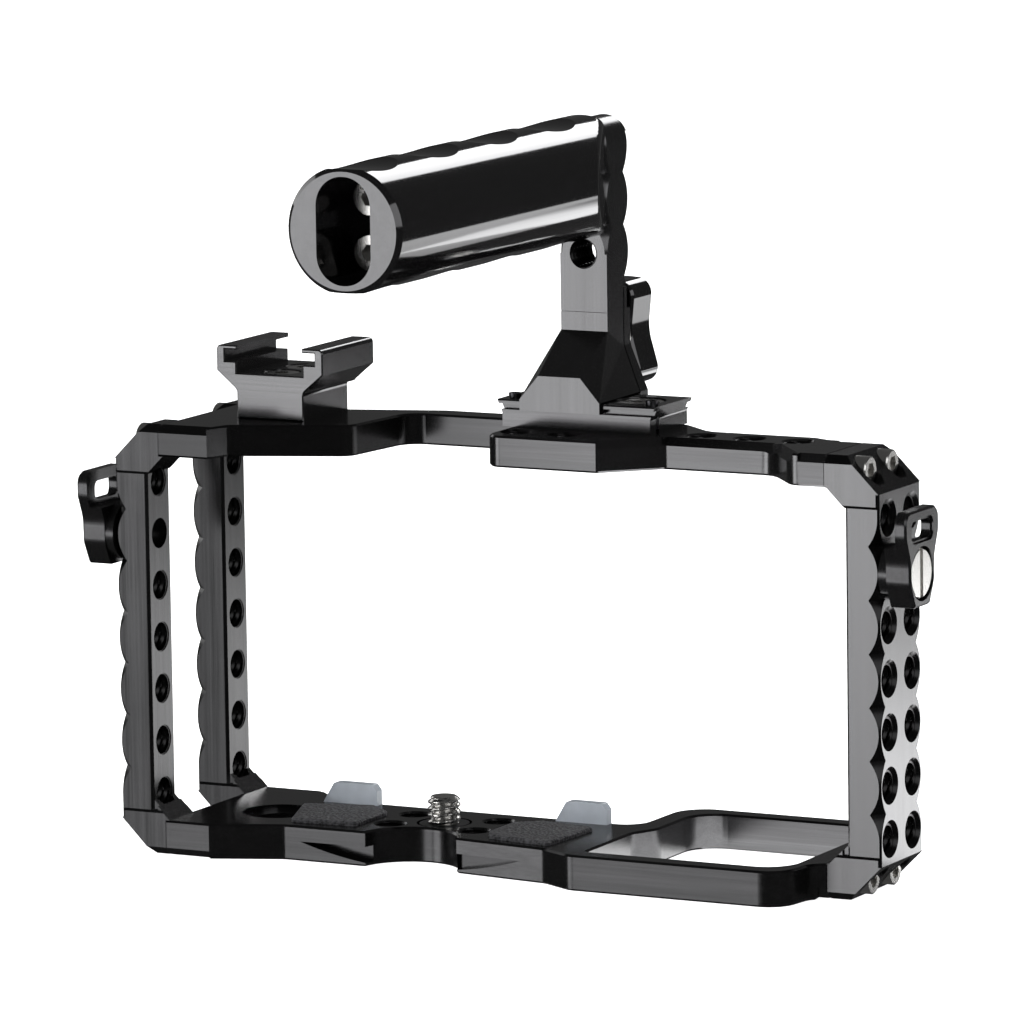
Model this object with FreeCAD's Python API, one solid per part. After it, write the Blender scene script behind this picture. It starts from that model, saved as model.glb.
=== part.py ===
"""Camera cage: a milled frame of separate posts and plates with a clamped top handle."""
import FreeCAD
import Part
import math
import os

# Sizes are in millimetres. X runs to the right, Y away from the viewer, Z up.
# Plan sizes are taken from the camera screw's axis, heights from the frame's underside.

# Where the finished object's own origin lies in these plan sizes
CENTRE_X = 17.65
CENTRE_Y = -23.6

# Outside of the frame
LEFT = -59.6
RIGHT = 94.9
FRONT = -19.3
REAR = 19.3
HEIGHT = 83.0
BASE_T = 6.8
TOP_T = 6.0
TOP_Z = HEIGHT - TOP_T
WALL_T = 6.9
CORNER = 6.8
INNER_CORNER = 3.6
INNER_EDGE = 0.55
SEAM = 0.12
SEAM_DEPTH = 0.3
JOINT_LEFT = -50.0
JOINT_RIGHT = 84.0
LONG_BEVEL = 1.5
BASE_BLOCK_LEFT = -40.6
BASE_BLOCK_RIGHT = 81.6
TOP_BLOCK_LEFT = -39.4
TOP_BLOCK_RIGHT = 78.6
SMALL_BEVEL = 0.4

# Posts and right wall
POST_DEPTH = 9.2
POST_Y = 14.7
WALL_FRONT = -7.8
WALL_REAR = 10.8
BAND_LOW = 8.6
BAND_HIGH = 73.4
BAND_STEP = 0.2
BAND_RAMP = 0.5
LOBE_R = 10.0
LOBE_LOW = 0.4
LOBE_DEEP = 2.4
LOBE_HALF = 9.0

# Rows of threaded holes
HOLE_FIRST = 11.5
HOLE_PITCH = 10.0
HOLE_COUNT = 7
HOLE_R = 2.9
MOUTH_R = 3.55
MOUTH_DEPTH = 0.7
TOP_HOLE_RIM = 0.35
LOW_HOLE_RIM = 0.4
WALL_COLUMNS = (-3.5, 6.5)
LUG_ROW = 5

# Frame screws that hold posts and plates together
SCREW_R = 1.45
SCREW_HOLE_R = 1.5
SCREW_CLEAR_R = 1.7
SCREW_HEAD_R = 2.6
SCREW_HEAD_H = 2.9
SCREW_EDGE = 0.25
HEAD_EDGE = 0.3
SCREW_POCKET_R = 2.75
SCREW_LENGTH = 9.0
SCREW_SEAT_INSET = 6.4
SCREW_Z_LOW = BASE_T / 2
SCREW_Z_HIGH = TOP_Z + TOP_T / 2
WALL_SCREWS_Y = (-3.3, 6.3)
HEX_KEY = 2.5

# Camera screw and the holes around it
CAMERA_SCREW_R = 3.1
CAMERA_SCREW_TOP = 12.0
CAMERA_BORE_R = 3.25
CAMERA_RECESS_R = 5.3
CAMERA_RECESS_DEPTH = 1.6
CAMERA_HEAD_R = 5.0
CAMERA_HEAD_H = 2.0
CAMERA_POCKET_R = 5.4
CAMERA_POCKET_DEPTH = 3.6
CAMERA_HEAD_Z = 0.9
CAMERA_HEAD_EDGE = 0.35
CAMERA_TIP_EDGE = 0.5
COIN_SLOT_W = 1.6
COIN_SLOT_DEPTH = 1.1
RING_R = 4.8
RING_H = 0.8
RING_GAP = 1.8
RING_GROOVE_W = 0.9
RING_GROOVE_DEPTH = 0.5
BASE_HOLE_X = 9.0
BASE_HOLE_Y = 5.0
ARC_Y = -15.6
ARC_R = 9.7
DISC_X = -34.5
DISC_Y = -2.5
DISC_R = 7.0
DISC_DEPTH = 1.2
BIG_THREAD_R = 4.4
TRIPOD_X = 24.0
TRIPOD_Y = -2.0
TRIPOD_DEPTH = 5.0

# Plan corners (x, y, radius) of the base, from its front left corner round to the rear left
BASE_OUTLINE = ((JOINT_LEFT, FRONT, 0), (BASE_BLOCK_LEFT, FRONT, 0), (-27.0, -14.1, 2.5), (0, -14.1, 0),
                (0, -13.4, 0), (9.0, -12.9, 0), (29.0, -15.4, 4), (36.0, FRONT, 4.5), (80.0, FRONT, 6),
                (81.4, -9.6, 3), (JOINT_RIGHT, WALL_FRONT, 0), (JOINT_RIGHT, WALL_REAR, 0),
                (BASE_BLOCK_RIGHT, 13.4, 2.5), (BASE_BLOCK_RIGHT, 32.5, 8), (35.5, 32.5, 7),
                (35.2, 11.8, 4.5), (-28.6, 11.8, 5), (-36.6, REAR, 4), (JOINT_LEFT, REAR, 0))

# Plan corners (x, y, radius) of the battery opening in the base
BATTERY_OPENING = ((37.4, -15.0, 1.2), (78.6, -15.0, 6.0), (78.6, 28.3, 6.0), (40.1, 28.3, 6.0),
                   (40.1, 10.5, 6.0), (37.4, 5.0, 4.0))

# Arched finger recesses in the front of the base
RECESS_INNER = 9.0
RECESS_OUTER = 30.0
RECESS_TOP = 3.8
RECESS_R = 78.3
RECESS_LOW = 0.12
RECESS_BACK = -11.0

# Plan corners of the top plate, its upper bevels and its threaded holes
PLATFORM_RIGHT = (37.4, -7.9)
ARM_LEFT = (46.8, 1.5)
ARM_RIGHT = (69.2, 1.5)
BLOCK_CORNER = (76.9, WALL_FRONT)
TOP_FACETS = ((PLATFORM_RIGHT, ARM_LEFT, 1.5), (ARM_LEFT, ARM_RIGHT, 1.5),
              (ARM_RIGHT, BLOCK_CORNER, 1.7))
TOP_OUTLINE = ((JOINT_LEFT, FRONT, 0), (TOP_BLOCK_LEFT, FRONT, 0), (-37.4, -14.2, 1.2),
               (-15.6, -6.0, 3.5), (-13.4, 13.4, 4), (13.6, 13.4, 3), (13.6, -7.9, 3.5),
               (*PLATFORM_RIGHT, 0.8), (*ARM_LEFT, 1.5), (*ARM_RIGHT, 5), (*BLOCK_CORNER, 4),
               (JOINT_RIGHT, WALL_FRONT, 0), (JOINT_RIGHT, WALL_REAR, 0), (76.5, WALL_REAR, 3),
               (73.0, 12.4, 3), (51.0, 12.4, 5), (43.0, REAR, 5), (-8.0, REAR, 9), (-28.0, 13.2, 5),
               (-37.4, 14.2, 1.2), (TOP_BLOCK_LEFT, REAR, 0), (JOINT_LEFT, REAR, 0))
TOP_HOLES = ((17.6, -1.6), (27.6, -1.6), (52.0, 6.6), (62.0, 6.6), (72.0, 6.6))

# Cold shoe
SHOE_X = -33.5
SHOE_FRONT = -5.0
SHOE_REAR = 15.6
SHOE_STEM = 14.4
SHOE_OUTER = 23.0
SHOE_SLOT = 19.4
SHOE_MOUTH = 14.0
SHOE_TOP = 96.9
SHOE_LIP = 96.1
SHOE_SHELF = 93.8
SHOE_FLOOR = 91.6
SHOE_FLARE_LOW = 88.4
SHOE_FLARE_HIGH = 92.0
SHOE_SCREW_Y = (0.0, 8.6)
SHOE_SCREW_R = 1.95
SHOE_HOLE_R = 2.0
SHOE_BEVEL = 0.25
SHOE_SCREW_HEAD_R = 3.6
SHOE_SCREW_HEAD_H = 1.7
SHOE_POCKET_DEPTH = 1.9
SHOE_RELIEF_R = 3.4
SHOE_RELIEF_H = 5.4

# Rail plate under the handle
RAIL_LEFT = 10.4
RAIL_RIGHT = 43.6
RAIL_FRONT = 4.2
RAIL_REAR = 20.0
RAIL_Z = HEIGHT
RAIL_GROOVE_LOW = 86.2
RAIL_GROOVE_HIGH = 87.3
RAIL_TOP = 88.1
RAIL_GROOVE = 1.3
RAIL_END = 1.1
RAIL_EDGE_R = 0.3
RAIL_SCREW_X = (17.3, 36.7)
RAIL_SCREW_Y = 12.2
RAIL_SCREW_HEAD_R = 4.7
RAIL_SCREW_HEAD_H = 2.2
RAIL_SCREW_R = 2.85
STOP_SCREW_X = (12.6, 41.4)
STOP_SCREW_Y = 7.4
STOP_SCREW_R = 1.2
STOP_SCREW_PROUD = 0.9
STOP_SCREW_KEY = 1.3
SLOT_W = 1.3
SLOT_CUT = 0.9

# Handle: post, foot, clamp jaw and grip
HANDLE_X = 24.0
POST_HALF = 4.9
POST_FRONT = 14.1
SLIT_Y = 20.8
POST_REAR = 23.6
JAW_GAP = 0.35
JAW_HEEL = 24.3
PIN_Z = 103.2
PIN_R = 1.0
PIN_NEAR = 16.0
PIN_FAR = 22.8
PIN_HOLE_R = 1.05
JAW_TOP = 108.6
JAW_EDGE = 0.9
HANDLE_TOP = 140.6
GRIP_Z = 129.8
GRIP_R = 11.6
GRIP_NEAR = -80.2
GRIP_BEVEL = 0.9
GRIP_TAPER_Y = -2.5
GRIP_TAPER_EDGE_R = 2.2
SLOT_HALF_WIDTH = 5.5
SLOT_HALF_HEIGHT = 10.4
SLOT_DEPTH = 14.0
SCALLOP_FIRST = -72.4
SCALLOP_PITCH = 23.3
SCALLOP_COUNT = 4
SCALLOP_R = 37.0
SCALLOP_DEEP = 1.2
FOOT_LOW = 88.4
FOOT_HALF = 8.4
FOOT_REAR_HALF = 8.2
FOOT_BEND_Z = 97.2
FOOT_FRONT = 3.3
FOOT_EDGE_Z = 93.0
FOOT_EDGE_HALF = 4.4
FOOT_TOP_Z = 100.5
TIE_OFFSET = 5.0
TIE_R = 1.95
TIE_HOLE_R = 2.0
TIE_CLEAR_R = 2.2
TIE_HEAD_R = 3.5
TIE_HEAD_H = 4.0
TIE_KEY = 3.0
HANDLE_HOLE_Z = 115.1
POST_LOBES_FRONT = 115.1
POST_LOBES_REAR = 108.6
POST_LOBE_LOW = 0.3
SEAM_Z = 104.0

# Clamp knob
KNOB_Z = 98.5
KNOB_REAR = 33.0
KNOB_FRONT = 24.8
KNOB_HALF_LENGTH = 10.1
KNOB_HALF_WIDTH = 6.2
KNOB_WAIST = 4.6
KNOB_CORNER_R = 3.0
KNOB_WAIST_R = 9.0
KNOB_HUB_R = 3.8
KNOB_CAP = 3.0
KNOB_BEVEL = 0.45
KNOB_TILT = 5.0
CLAMP_R = 2.45
CLAMP_CLEAR_R = 2.65
CLAMP_THREAD_R = 2.5
CLAMP_TIP_Y = 15.8
WASHER_R = 4.6
WASHER_T = 0.8

# Strap lugs
LUG_OUT = 6.9
LUG_GAP = 0.3
LUG_PLATE = 2.3
LUG_NECK = 2.0
LUG_NECK_R = 5.3
LUG_HALF = ((3.3, -6.1, 0.5), (5.4, -1.8, 3.5), (5.5, 2.8, 6.0), (7.3, 7.2, 3.5))
LUG_TOP = 12.0
LUG_TOP_R = 3.3
LUG_BEVEL = 0.4
LUG_SHELF = 5.2
LUG_SLOT_HALF = 4.3
LUG_SLOT_LOW = 6.3
LUG_SLOT_HIGH = 9.9
LUG_BORE_R = 3.15
LUG_SHOULDER_R = 3.1
LUG_HEAD_R = 4.7
LUG_POCKET_R = 5.1
LUG_POCKET_DEPTH = 2.0
LUG_HEAD_H = 1.7
LUG_THREAD_R = 2.85
LUG_THREAD_DEPTH = 3.6

# Pads and soft stops on the base
LEFT_PAD = ((-27.2, -11.2), (-13.6, -10.3), (-13.5, 2.4), (-18.8, 6.9), (-32.5, 3.4))
RIGHT_PAD = ((13.5, -7.5), (15.2, -11.0), (28.8, -13.4), (30.0, 3.6), (18.3, 5.6), (13.6, 2.2))
PAD_CORNER_R = 1.0
PAD_BEVEL = 0.3
PAD_H = 1.2
PAD_SUNK = 0.4
STOP_LEFT_X = (-31.4, -19.7)
STOP_RIGHT_X = (18.8, 29.7)
STOP_FRONT = 9.6
STOP_REAR = 11.7
STOP_TOP = 10.8
STOP_LOW = 3.0


def vec(x, y, z):
    """Return a point or direction."""
    return FreeCAD.Vector(x, y, z)


def box(x0, x1, y0, y1, z0, z1):
    """Return a block between two corners."""
    return Part.makeBox(x1 - x0, y1 - y0, z1 - z0, vec(x0, y0, z0))


def rod(radius, x, y, z, length, axis):
    """Return a cylinder that starts at a point and runs along an axis."""
    return Part.makeCylinder(radius, length, vec(x, y, z), axis)


def cone(r0, r1, x, y, z, length, axis):
    """Return a cone whose radius goes from r0 to r1 along an axis."""
    return Part.makeCone(r0, r1, length, vec(x, y, z), axis)


def fuse(shapes):
    """Join a list of solids into one."""
    joined = shapes[0]
    if len(shapes) > 1:
        joined = shapes[0].multiFuse(shapes[1:])
    return joined.removeSplitter()


def cut(shape, tools):
    """Take a list of solids out of a shape."""
    return shape.cut(tools)


def rounded_wire(points, place):
    """Return a closed wire through corners (u, v, radius), placed by a function of u and v."""
    count = len(points)
    starts = []
    ends = []
    mids = []
    for i in range(count):
        u, v, radius = points[i]
        pu, pv = points[i - 1][0], points[i - 1][1]
        nu, nv = points[(i + 1) % count][0], points[(i + 1) % count][1]
        before = math.hypot(pu - u, pv - v)
        after = math.hypot(nu - u, nv - v)
        du, dv = (pu - u) / before, (pv - v) / before
        eu, ev = (nu - u) / after, (nv - v) / after
        angle = math.acos(max(-1.0, min(1.0, du * eu + dv * ev)))
        if radius <= 0 or angle > math.radians(179):
            starts.append((u, v))
            ends.append((u, v))
            mids.append(None)
            continue
        reach = min(radius / math.tan(angle / 2), 0.49 * before, 0.49 * after)
        radius = reach * math.tan(angle / 2)
        starts.append((u + du * reach, v + dv * reach))
        ends.append((u + eu * reach, v + ev * reach))
        mu, mv = du + eu, dv + ev
        size = math.hypot(mu, mv)
        far = radius / math.sin(angle / 2) - radius
        mids.append((u + mu / size * far, v + mv / size * far))
    edges = []
    for i in range(count):
        if mids[i] is not None:
            edges.append(Part.Arc(place(*starts[i]), place(*mids[i]), place(*ends[i])).toShape())
        following = starts[(i + 1) % count]
        if math.hypot(following[0] - ends[i][0], following[1] - ends[i][1]) > 1e-6:
            edges.append(Part.makeLine(place(*ends[i]), place(*following)))
    return Part.Wire(Part.__sortEdges__(edges))


def plan(points, z0, z1):
    """Extrude a plan outline of corners (x, y, radius) between two heights."""
    face = Part.Face(rounded_wire(points, lambda u, v: vec(u, v, z0)))
    return face.extrude(vec(0, 0, z1 - z0))


def front_profile(points, y0, y1):
    """Extrude an outline of corners (x, z, radius), seen from the front, between two depths."""
    face = Part.Face(rounded_wire(points, lambda u, v: vec(u, y0, v)))
    return face.extrude(vec(0, y1 - y0, 0))


def side_profile(points, x0, x1):
    """Extrude an outline of corners (y, z, radius), seen from the side, between two places."""
    face = Part.Face(rounded_wire(points, lambda u, v: vec(x0, u, v)))
    return face.extrude(vec(x1 - x0, 0, 0))


def level_edges(shape, axis, level):
    """Return the edges that lie wholly in the plane where one coordinate has a value."""
    found = []
    for edge in shape.Edges:
        low = getattr(edge.BoundBox, axis + "Min")
        high = getattr(edge.BoundBox, axis + "Max")
        if abs(low - level) < 1e-4 and abs(high - level) < 1e-4:
            found.append(edge)
    return found


def bevel(shape, axis, levels, size):
    """Bevel every edge of a shape that lies in one of the given planes."""
    for level in levels:
        shape = shape.makeChamfer(size, level_edges(shape, axis, level))
    return shape


def long_bevels(x0, x1, y_front, y_rear, z_low, z_high):
    """Return wedges that take long 45 degree bevels off the front and rear edges of an arm."""
    size = LONG_BEVEL
    wedges = []
    for y, inward in ((y_front, 1), (y_rear, -1)):
        for z, back in ((z_low, 1), (z_high, -1)):
            if z is None:
                continue
            corners = [(y - inward, z - back, 0), (y + inward * (size + 1), z - back, 0),
                       (y + inward * size, z, 0), (y, z + back * size, 0),
                       (y - inward, z + back * (size + 1), 0)]
            wedges.append(side_profile(corners, x0, x1))
    return wedges


def hole_heights():
    """Return the heights of one column of threaded holes."""
    return [HOLE_FIRST + HOLE_PITCH * k for k in range(HOLE_COUNT)]


def side_hole(y, z, x_inner, x_outer):
    """Return a threaded hole through a wall along X, with a wide mouth at its outer face."""
    way = 1 if x_outer > x_inner else -1
    axis = vec(way, 0, 0)
    thick = abs(x_outer - x_inner)
    bore = rod(HOLE_R, x_inner - way, y, z, thick + 2, axis)
    mouth = cone(HOLE_R, MOUTH_R, x_outer - way * MOUTH_DEPTH, y, z, MOUTH_DEPTH, axis)
    outside = rod(MOUTH_R, x_outer, y, z, 1, axis)
    return [bore, mouth, outside]


def top_hole(x, y, z_low, z_high, radius=HOLE_R):
    """Return a threaded hole along Z with a narrow bevel at its upper mouth."""
    rim = TOP_HOLE_RIM
    bore = rod(radius, x, y, z_low - 1, z_high - z_low + 2, vec(0, 0, 1))
    mouth = cone(radius, radius + rim, x, y, z_high - rim, rim, vec(0, 0, 1))
    return [bore, mouth]


def lobed_edge(x, y, way_x, way_y, z_low, z_high):
    """Return the cutter that leaves round lobes, one per hole, along an upright edge.

    Above the last hole and below the first the edge is a plain narrow bevel.
    """
    inward = vec(-way_x, -way_y, 0).normalize()
    along = vec(way_x, -way_y, 0).normalize()
    corner = vec(x, y, 0)
    slab = edge_strip(corner - inward * 3.0, inward, along, 3.0 + LOBE_DEEP, LOBE_HALF, z_low, z_high)
    heights = hole_heights()
    kept = []
    for z in heights:
        centre = corner + inward * (LOBE_LOW + LOBE_R) - along * (LOBE_HALF + 1) + vec(0, 0, z)
        kept.append(Part.makeCylinder(LOBE_R, 2 * LOBE_HALF + 2, centre, along))
    inner = corner + inward * LOBE_LOW
    for low, high in ((z_low - 1, heights[0]), (heights[-1], z_high + 1)):
        kept.append(edge_strip(inner, inward, along, 2 * LOBE_DEEP, LOBE_HALF + 1, low, high))
    return cut(slab, kept)


def edge_strip(start, inward, along, depth, half, z_low, z_high):
    """Return an upright slab that starts at a point, runs inward and reaches both ways along."""
    first = start - along * half
    corners = [first, first + inward * depth, first + inward * depth + along * 2 * half,
               first + along * 2 * half]
    lifted = [point + vec(0, 0, z_low) for point in corners]
    lifted.append(lifted[0])
    return Part.Face(Part.makePolygon(lifted)).extrude(vec(0, 0, z_high - z_low))


def frame_side(outer, inner, joint, y_front, y_rear):
    """Return a C-shaped side of the frame with lobed upright edges and bevelled arms."""
    way = 1 if outer > inner else -1
    lip = inner - way * INNER_CORNER
    outline = [(joint, HEIGHT, 0), (outer - way * CORNER, HEIGHT, 0), (outer, HEIGHT - CORNER, 0),
               (outer, CORNER, 0), (outer - way * CORNER, 0, 0), (joint, 0, 0), (joint, BASE_T, 0),
               (lip, BASE_T, 0), (inner, BASE_T + INNER_CORNER, 0),
               (inner, TOP_Z - INNER_CORNER, 0), (lip, TOP_Z, 0), (joint, TOP_Z, 0)]
    side = front_profile(outline, y_front, y_rear)
    low_x = min(joint, outer) - 1
    high_x = max(joint, outer) + 1
    tools = long_bevels(low_x, high_x, y_front, y_rear, 0.0, HEIGHT)
    for y, inward in ((y_front, 1), (y_rear, -1)):
        band = [(y - inward, BAND_LOW - BAND_RAMP, 0), (y, BAND_LOW - BAND_RAMP, 0),
                (y + inward * BAND_STEP, BAND_LOW, 0), (y + inward * BAND_STEP, BAND_HIGH, 0),
                (y, BAND_HIGH + BAND_RAMP, 0), (y - inward, BAND_HIGH + BAND_RAMP, 0)]
        tools.append(side_profile(band, low_x, high_x))
        tools.append(lobed_edge(outer, y, way, -inward, CORNER, HEIGHT - CORNER))
        size = INNER_EDGE
        corners = [(inner - way, y - inward, 0), (inner + way * size, y - inward, 0),
                   (inner + way * size, y + inward * BAND_STEP, 0),
                   (inner, y + inward * (BAND_STEP + size), 0),
                   (inner - way, y + inward * (BAND_STEP + size), 0)]
        tools.append(plan(corners, BAND_LOW, BAND_HIGH))
    side = cut(side, tools)
    return side


def joint_screw_tools(joint, outer, screw_ys):
    """Return the clearance holes and head pockets for screws through both arms of a side."""
    way = 1 if outer > joint else -1
    seat = outer - way * SCREW_SEAT_INSET
    tools = []
    for y in screw_ys:
        for z in (SCREW_Z_LOW, SCREW_Z_HIGH):
            axis = vec(way, 0, 0)
            tools.append(rod(SCREW_CLEAR_R, joint - way, y, z, abs(outer - joint) + 1, axis))
            tools.append(rod(SCREW_POCKET_R, seat, y, z, SCREW_SEAT_INSET + 2, axis))
    return tools


def joint_screws(outer, screw_ys):
    """Return the socket screws that hold one side of the frame to both plates."""
    way = 1 if outer > 0 else -1
    seat = outer - way * SCREW_SEAT_INSET
    screws = []
    for y in screw_ys:
        for z in (SCREW_Z_LOW, SCREW_Z_HIGH):
            screws.append(socket_screw(vec(seat, y, z), vec(way, 0, 0)))
    return Part.makeCompound(screws)


def socket_screw(seat, out):
    """Return one frame screw whose head stands on a seat and faces the given way."""
    head = Part.makeCylinder(SCREW_HEAD_R, SCREW_HEAD_H, seat, out)
    head = head.makeChamfer(SCREW_EDGE, [head.Edges[0]])
    shank = Part.makeCylinder(SCREW_R, SCREW_LENGTH, seat, out * -1)
    screw = head.fuse(shank).removeSplitter()
    return screw.cut(hex_socket(seat + out * SCREW_HEAD_H, out, HEX_KEY, 1.5))


def hex_socket(top, out, across, depth):
    """Return a hexagonal key socket that opens at a point and goes in against a direction."""
    side = across / math.sqrt(3)
    if abs(out.z) > 0.5:
        u, v = vec(1, 0, 0), vec(0, 1, 0)
    elif abs(out.x) > 0.5:
        u, v = vec(0, 1, 0), vec(0, 0, 1)
    else:
        u, v = vec(1, 0, 0), vec(0, 0, 1)
    ring = []
    for k in range(7):
        turn = math.radians(60 * k)
        ring.append(top + u * (side * math.cos(turn)) + v * (side * math.sin(turn)))
    face = Part.Face(Part.makePolygon(ring))
    return face.extrude(out * -depth).fuse(face.extrude(out * 0.5))


def left_front_post():
    """Return the left front post."""
    return left_post(-POST_Y)


def left_rear_post():
    """Return the left rear post."""
    return left_post(POST_Y)


def left_post(y):
    """Return one left post with its column of threaded holes."""
    inner = LEFT + WALL_T
    post = frame_side(LEFT, inner, JOINT_LEFT, y - POST_DEPTH / 2, y + POST_DEPTH / 2)
    tools = []
    for z in hole_heights():
        tools += side_hole(y, z, inner, LEFT)
    tools += joint_screw_tools(JOINT_LEFT, LEFT, [y])
    return cut(post, tools)


def right_wall():
    """Return the right wall with its two columns of threaded holes."""
    inner = RIGHT - WALL_T
    wall = frame_side(RIGHT, inner, JOINT_RIGHT, WALL_FRONT, WALL_REAR)
    tools = []
    for y in WALL_COLUMNS:
        for z in hole_heights():
            tools += side_hole(y, z, inner, RIGHT)
    tools += joint_screw_tools(JOINT_RIGHT, RIGHT, WALL_SCREWS_Y)
    return cut(wall, tools)


def seams(z_low, z_high):
    """Return the fine grooves round both joint faces of a plate."""
    grooves = []
    for x, way, y0, y1 in ((JOINT_LEFT, 1, FRONT, REAR), (JOINT_RIGHT, -1, WALL_FRONT, WALL_REAR)):
        x0, x1 = sorted((x - way, x + way * SEAM))
        around = box(x0, x1, y0 - 1, y1 + 1, z_low - 1, z_high + 1)
        core = box(x0 - 1, x1 + 1, y0 + SEAM_DEPTH, y1 - SEAM_DEPTH, z_low + SEAM_DEPTH, z_high - SEAM_DEPTH)
        grooves.append(around.cut(core))
    return grooves


def end_holes(y_list, joint, z, way):
    """Return blind screw holes that go into a plate from its joint face."""
    outer = LEFT if way > 0 else RIGHT
    depth = SCREW_LENGTH - abs(outer - joint) + SCREW_SEAT_INSET + 1.0
    return [rod(SCREW_HOLE_R, joint - way, y, z, depth + 1, vec(way, 0, 0)) for y in y_list]


def base_plate():
    """Return the base: camera seat, finger recesses, battery opening and joint blocks."""
    plate = plan(BASE_OUTLINE, 0, BASE_T)
    plate = cut(plate, [plan(BATTERY_OPENING, -1, BASE_T + 1),
                        rod(ARC_R, 0, ARC_Y, -1, BASE_T + 2, vec(0, 0, 1))])
    plate = bevel(plate, "Z", (0.0, BASE_T), SMALL_BEVEL)
    up = vec(0, 0, 1)
    tools = [rod(CAMERA_BORE_R, 0, 0, -1, BASE_T + 2, up),
             rod(CAMERA_RECESS_R, 0, 0, BASE_T - CAMERA_RECESS_DEPTH, 3, up),
             rod(CAMERA_POCKET_R, 0, 0, -1, CAMERA_POCKET_DEPTH + 1, up),
             rod(DISC_R, DISC_X, DISC_Y, BASE_T - DISC_DEPTH, 3, up),
             rod(BIG_THREAD_R, DISC_X, DISC_Y, -1, BASE_T + 2, up),
             cone(BIG_THREAD_R + LOW_HOLE_RIM, BIG_THREAD_R, DISC_X, DISC_Y, 0, LOW_HOLE_RIM, up),
             rod(HOLE_R, TRIPOD_X, TRIPOD_Y, -1, TRIPOD_DEPTH + 1, up),
             cone(HOLE_R + LOW_HOLE_RIM, HOLE_R, TRIPOD_X, TRIPOD_Y, 0, LOW_HOLE_RIM, up)]
    for x in (-BASE_HOLE_X, BASE_HOLE_X):
        for y in (-BASE_HOLE_Y, BASE_HOLE_Y):
            tools += top_hole(x, y, 0, BASE_T)
    tools += base_recesses()
    tools += seams(0.0, BASE_T)
    tools += long_bevels(JOINT_LEFT - 1, BASE_BLOCK_LEFT, FRONT, REAR, 0.0, None)
    tools += long_bevels(BASE_BLOCK_RIGHT, JOINT_RIGHT + 1, WALL_FRONT, WALL_REAR, 0.0, None)
    for side in (-1, 1):
        tools.append(plan(pad_outline(side, 0.1), BASE_T - PAD_SUNK, BASE_T + 1))
        tools.append(stop_block(side, 0.05))
    tools += end_holes([-POST_Y, POST_Y], JOINT_LEFT, SCREW_Z_LOW, 1)
    tools += end_holes(WALL_SCREWS_Y, JOINT_RIGHT, SCREW_Z_LOW, -1)
    return cut(plate, tools)


def base_recesses():
    """Return the two mirrored recesses under the front edge, flat above and arched below."""
    drum = rod(RECESS_R, 0, FRONT - 2, RECESS_LOW + RECESS_R, RECESS_BACK - FRONT + 2, vec(0, 1, 0))
    tools = []
    for side in (-1, 1):
        x0, x1 = sorted((side * RECESS_INNER, side * RECESS_OUTER))
        tools.append(drum.common(box(x0, x1, FRONT - 1, RECESS_BACK, -1, RECESS_TOP)))
    return tools


def pad_outline(side, grow):
    """Return the plan outline of one rubber pad, a little larger when it is a pocket."""
    corners = LEFT_PAD if side < 0 else RIGHT_PAD
    mid_x = sum(c[0] for c in corners) / len(corners)
    mid_y = sum(c[1] for c in corners) / len(corners)
    outline = []
    for x, y in corners:
        reach = math.hypot(x - mid_x, y - mid_y)
        scale = 1 + grow / reach
        outline.append((mid_x + (x - mid_x) * scale, mid_y + (y - mid_y) * scale, PAD_CORNER_R))
    return outline


def rubber_pad(side):
    """Return one rubber pad with a bevelled upper edge."""
    top = BASE_T - PAD_SUNK + PAD_H
    pad = plan(pad_outline(side, 0), BASE_T - PAD_SUNK, top)
    return bevel(pad, "Z", (top,), PAD_BEVEL)


def stop_block(side, grow):
    """Return one soft stop that stands in a slot in the base's rear edge."""
    x0, x1 = STOP_LEFT_X if side < 0 else STOP_RIGHT_X
    corners = [(x0 - grow, STOP_LOW - grow, 0), (x1 + grow, STOP_LOW - grow, 0),
               (x1 + grow, STOP_TOP - 1.2, 0), (x1 - 0.9, STOP_TOP, 0.6),
               (x0 + 2.4, STOP_TOP, 1.0), (x0 - grow, BASE_T, 0)]
    return front_profile(corners, STOP_FRONT - grow, STOP_REAR + grow)


def camera_screw():
    """Return the captive camera screw with its coin-slotted head below the base."""
    up = vec(0, 0, 1)
    head = rod(CAMERA_HEAD_R, 0, 0, CAMERA_HEAD_Z, CAMERA_HEAD_H, up)
    head = head.makeChamfer(CAMERA_HEAD_EDGE, [head.Edges[0], head.Edges[2]])
    shaft = rod(CAMERA_SCREW_R, 0, 0, CAMERA_HEAD_Z, CAMERA_SCREW_TOP - CAMERA_HEAD_Z, up)
    shaft = bevel(shaft, "Z", (CAMERA_SCREW_TOP,), CAMERA_TIP_EDGE)
    screw = head.fuse(shaft).removeSplitter()
    groove = rod(CAMERA_SCREW_R + 1, 0, 0, BASE_T - RING_GROOVE_W, RING_GROOVE_W, up)
    groove = groove.cut(rod(CAMERA_SCREW_R - RING_GROOVE_DEPTH, 0, 0, BASE_T - 2, 4, up))
    slot = box(-CAMERA_HEAD_R, CAMERA_HEAD_R, -COIN_SLOT_W / 2, COIN_SLOT_W / 2, CAMERA_HEAD_Z - 1,
               CAMERA_HEAD_Z + COIN_SLOT_DEPTH)
    return cut(screw, [groove, slot])


def camera_screw_ring():
    """Return the ring that snaps into the screw's groove and keeps it in the base."""
    low = BASE_T - 0.85
    ring = rod(RING_R, 0, 0, low, RING_H, vec(0, 0, 1))
    ring = ring.cut(rod(CAMERA_SCREW_R - 0.45, 0, 0, low - 1, RING_H + 2, vec(0, 0, 1)))
    gap = box(-RING_GAP / 2, RING_GAP / 2, 0, RING_R + 1, low - 1, low + RING_H + 1)
    return ring.cut(gap)


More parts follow.
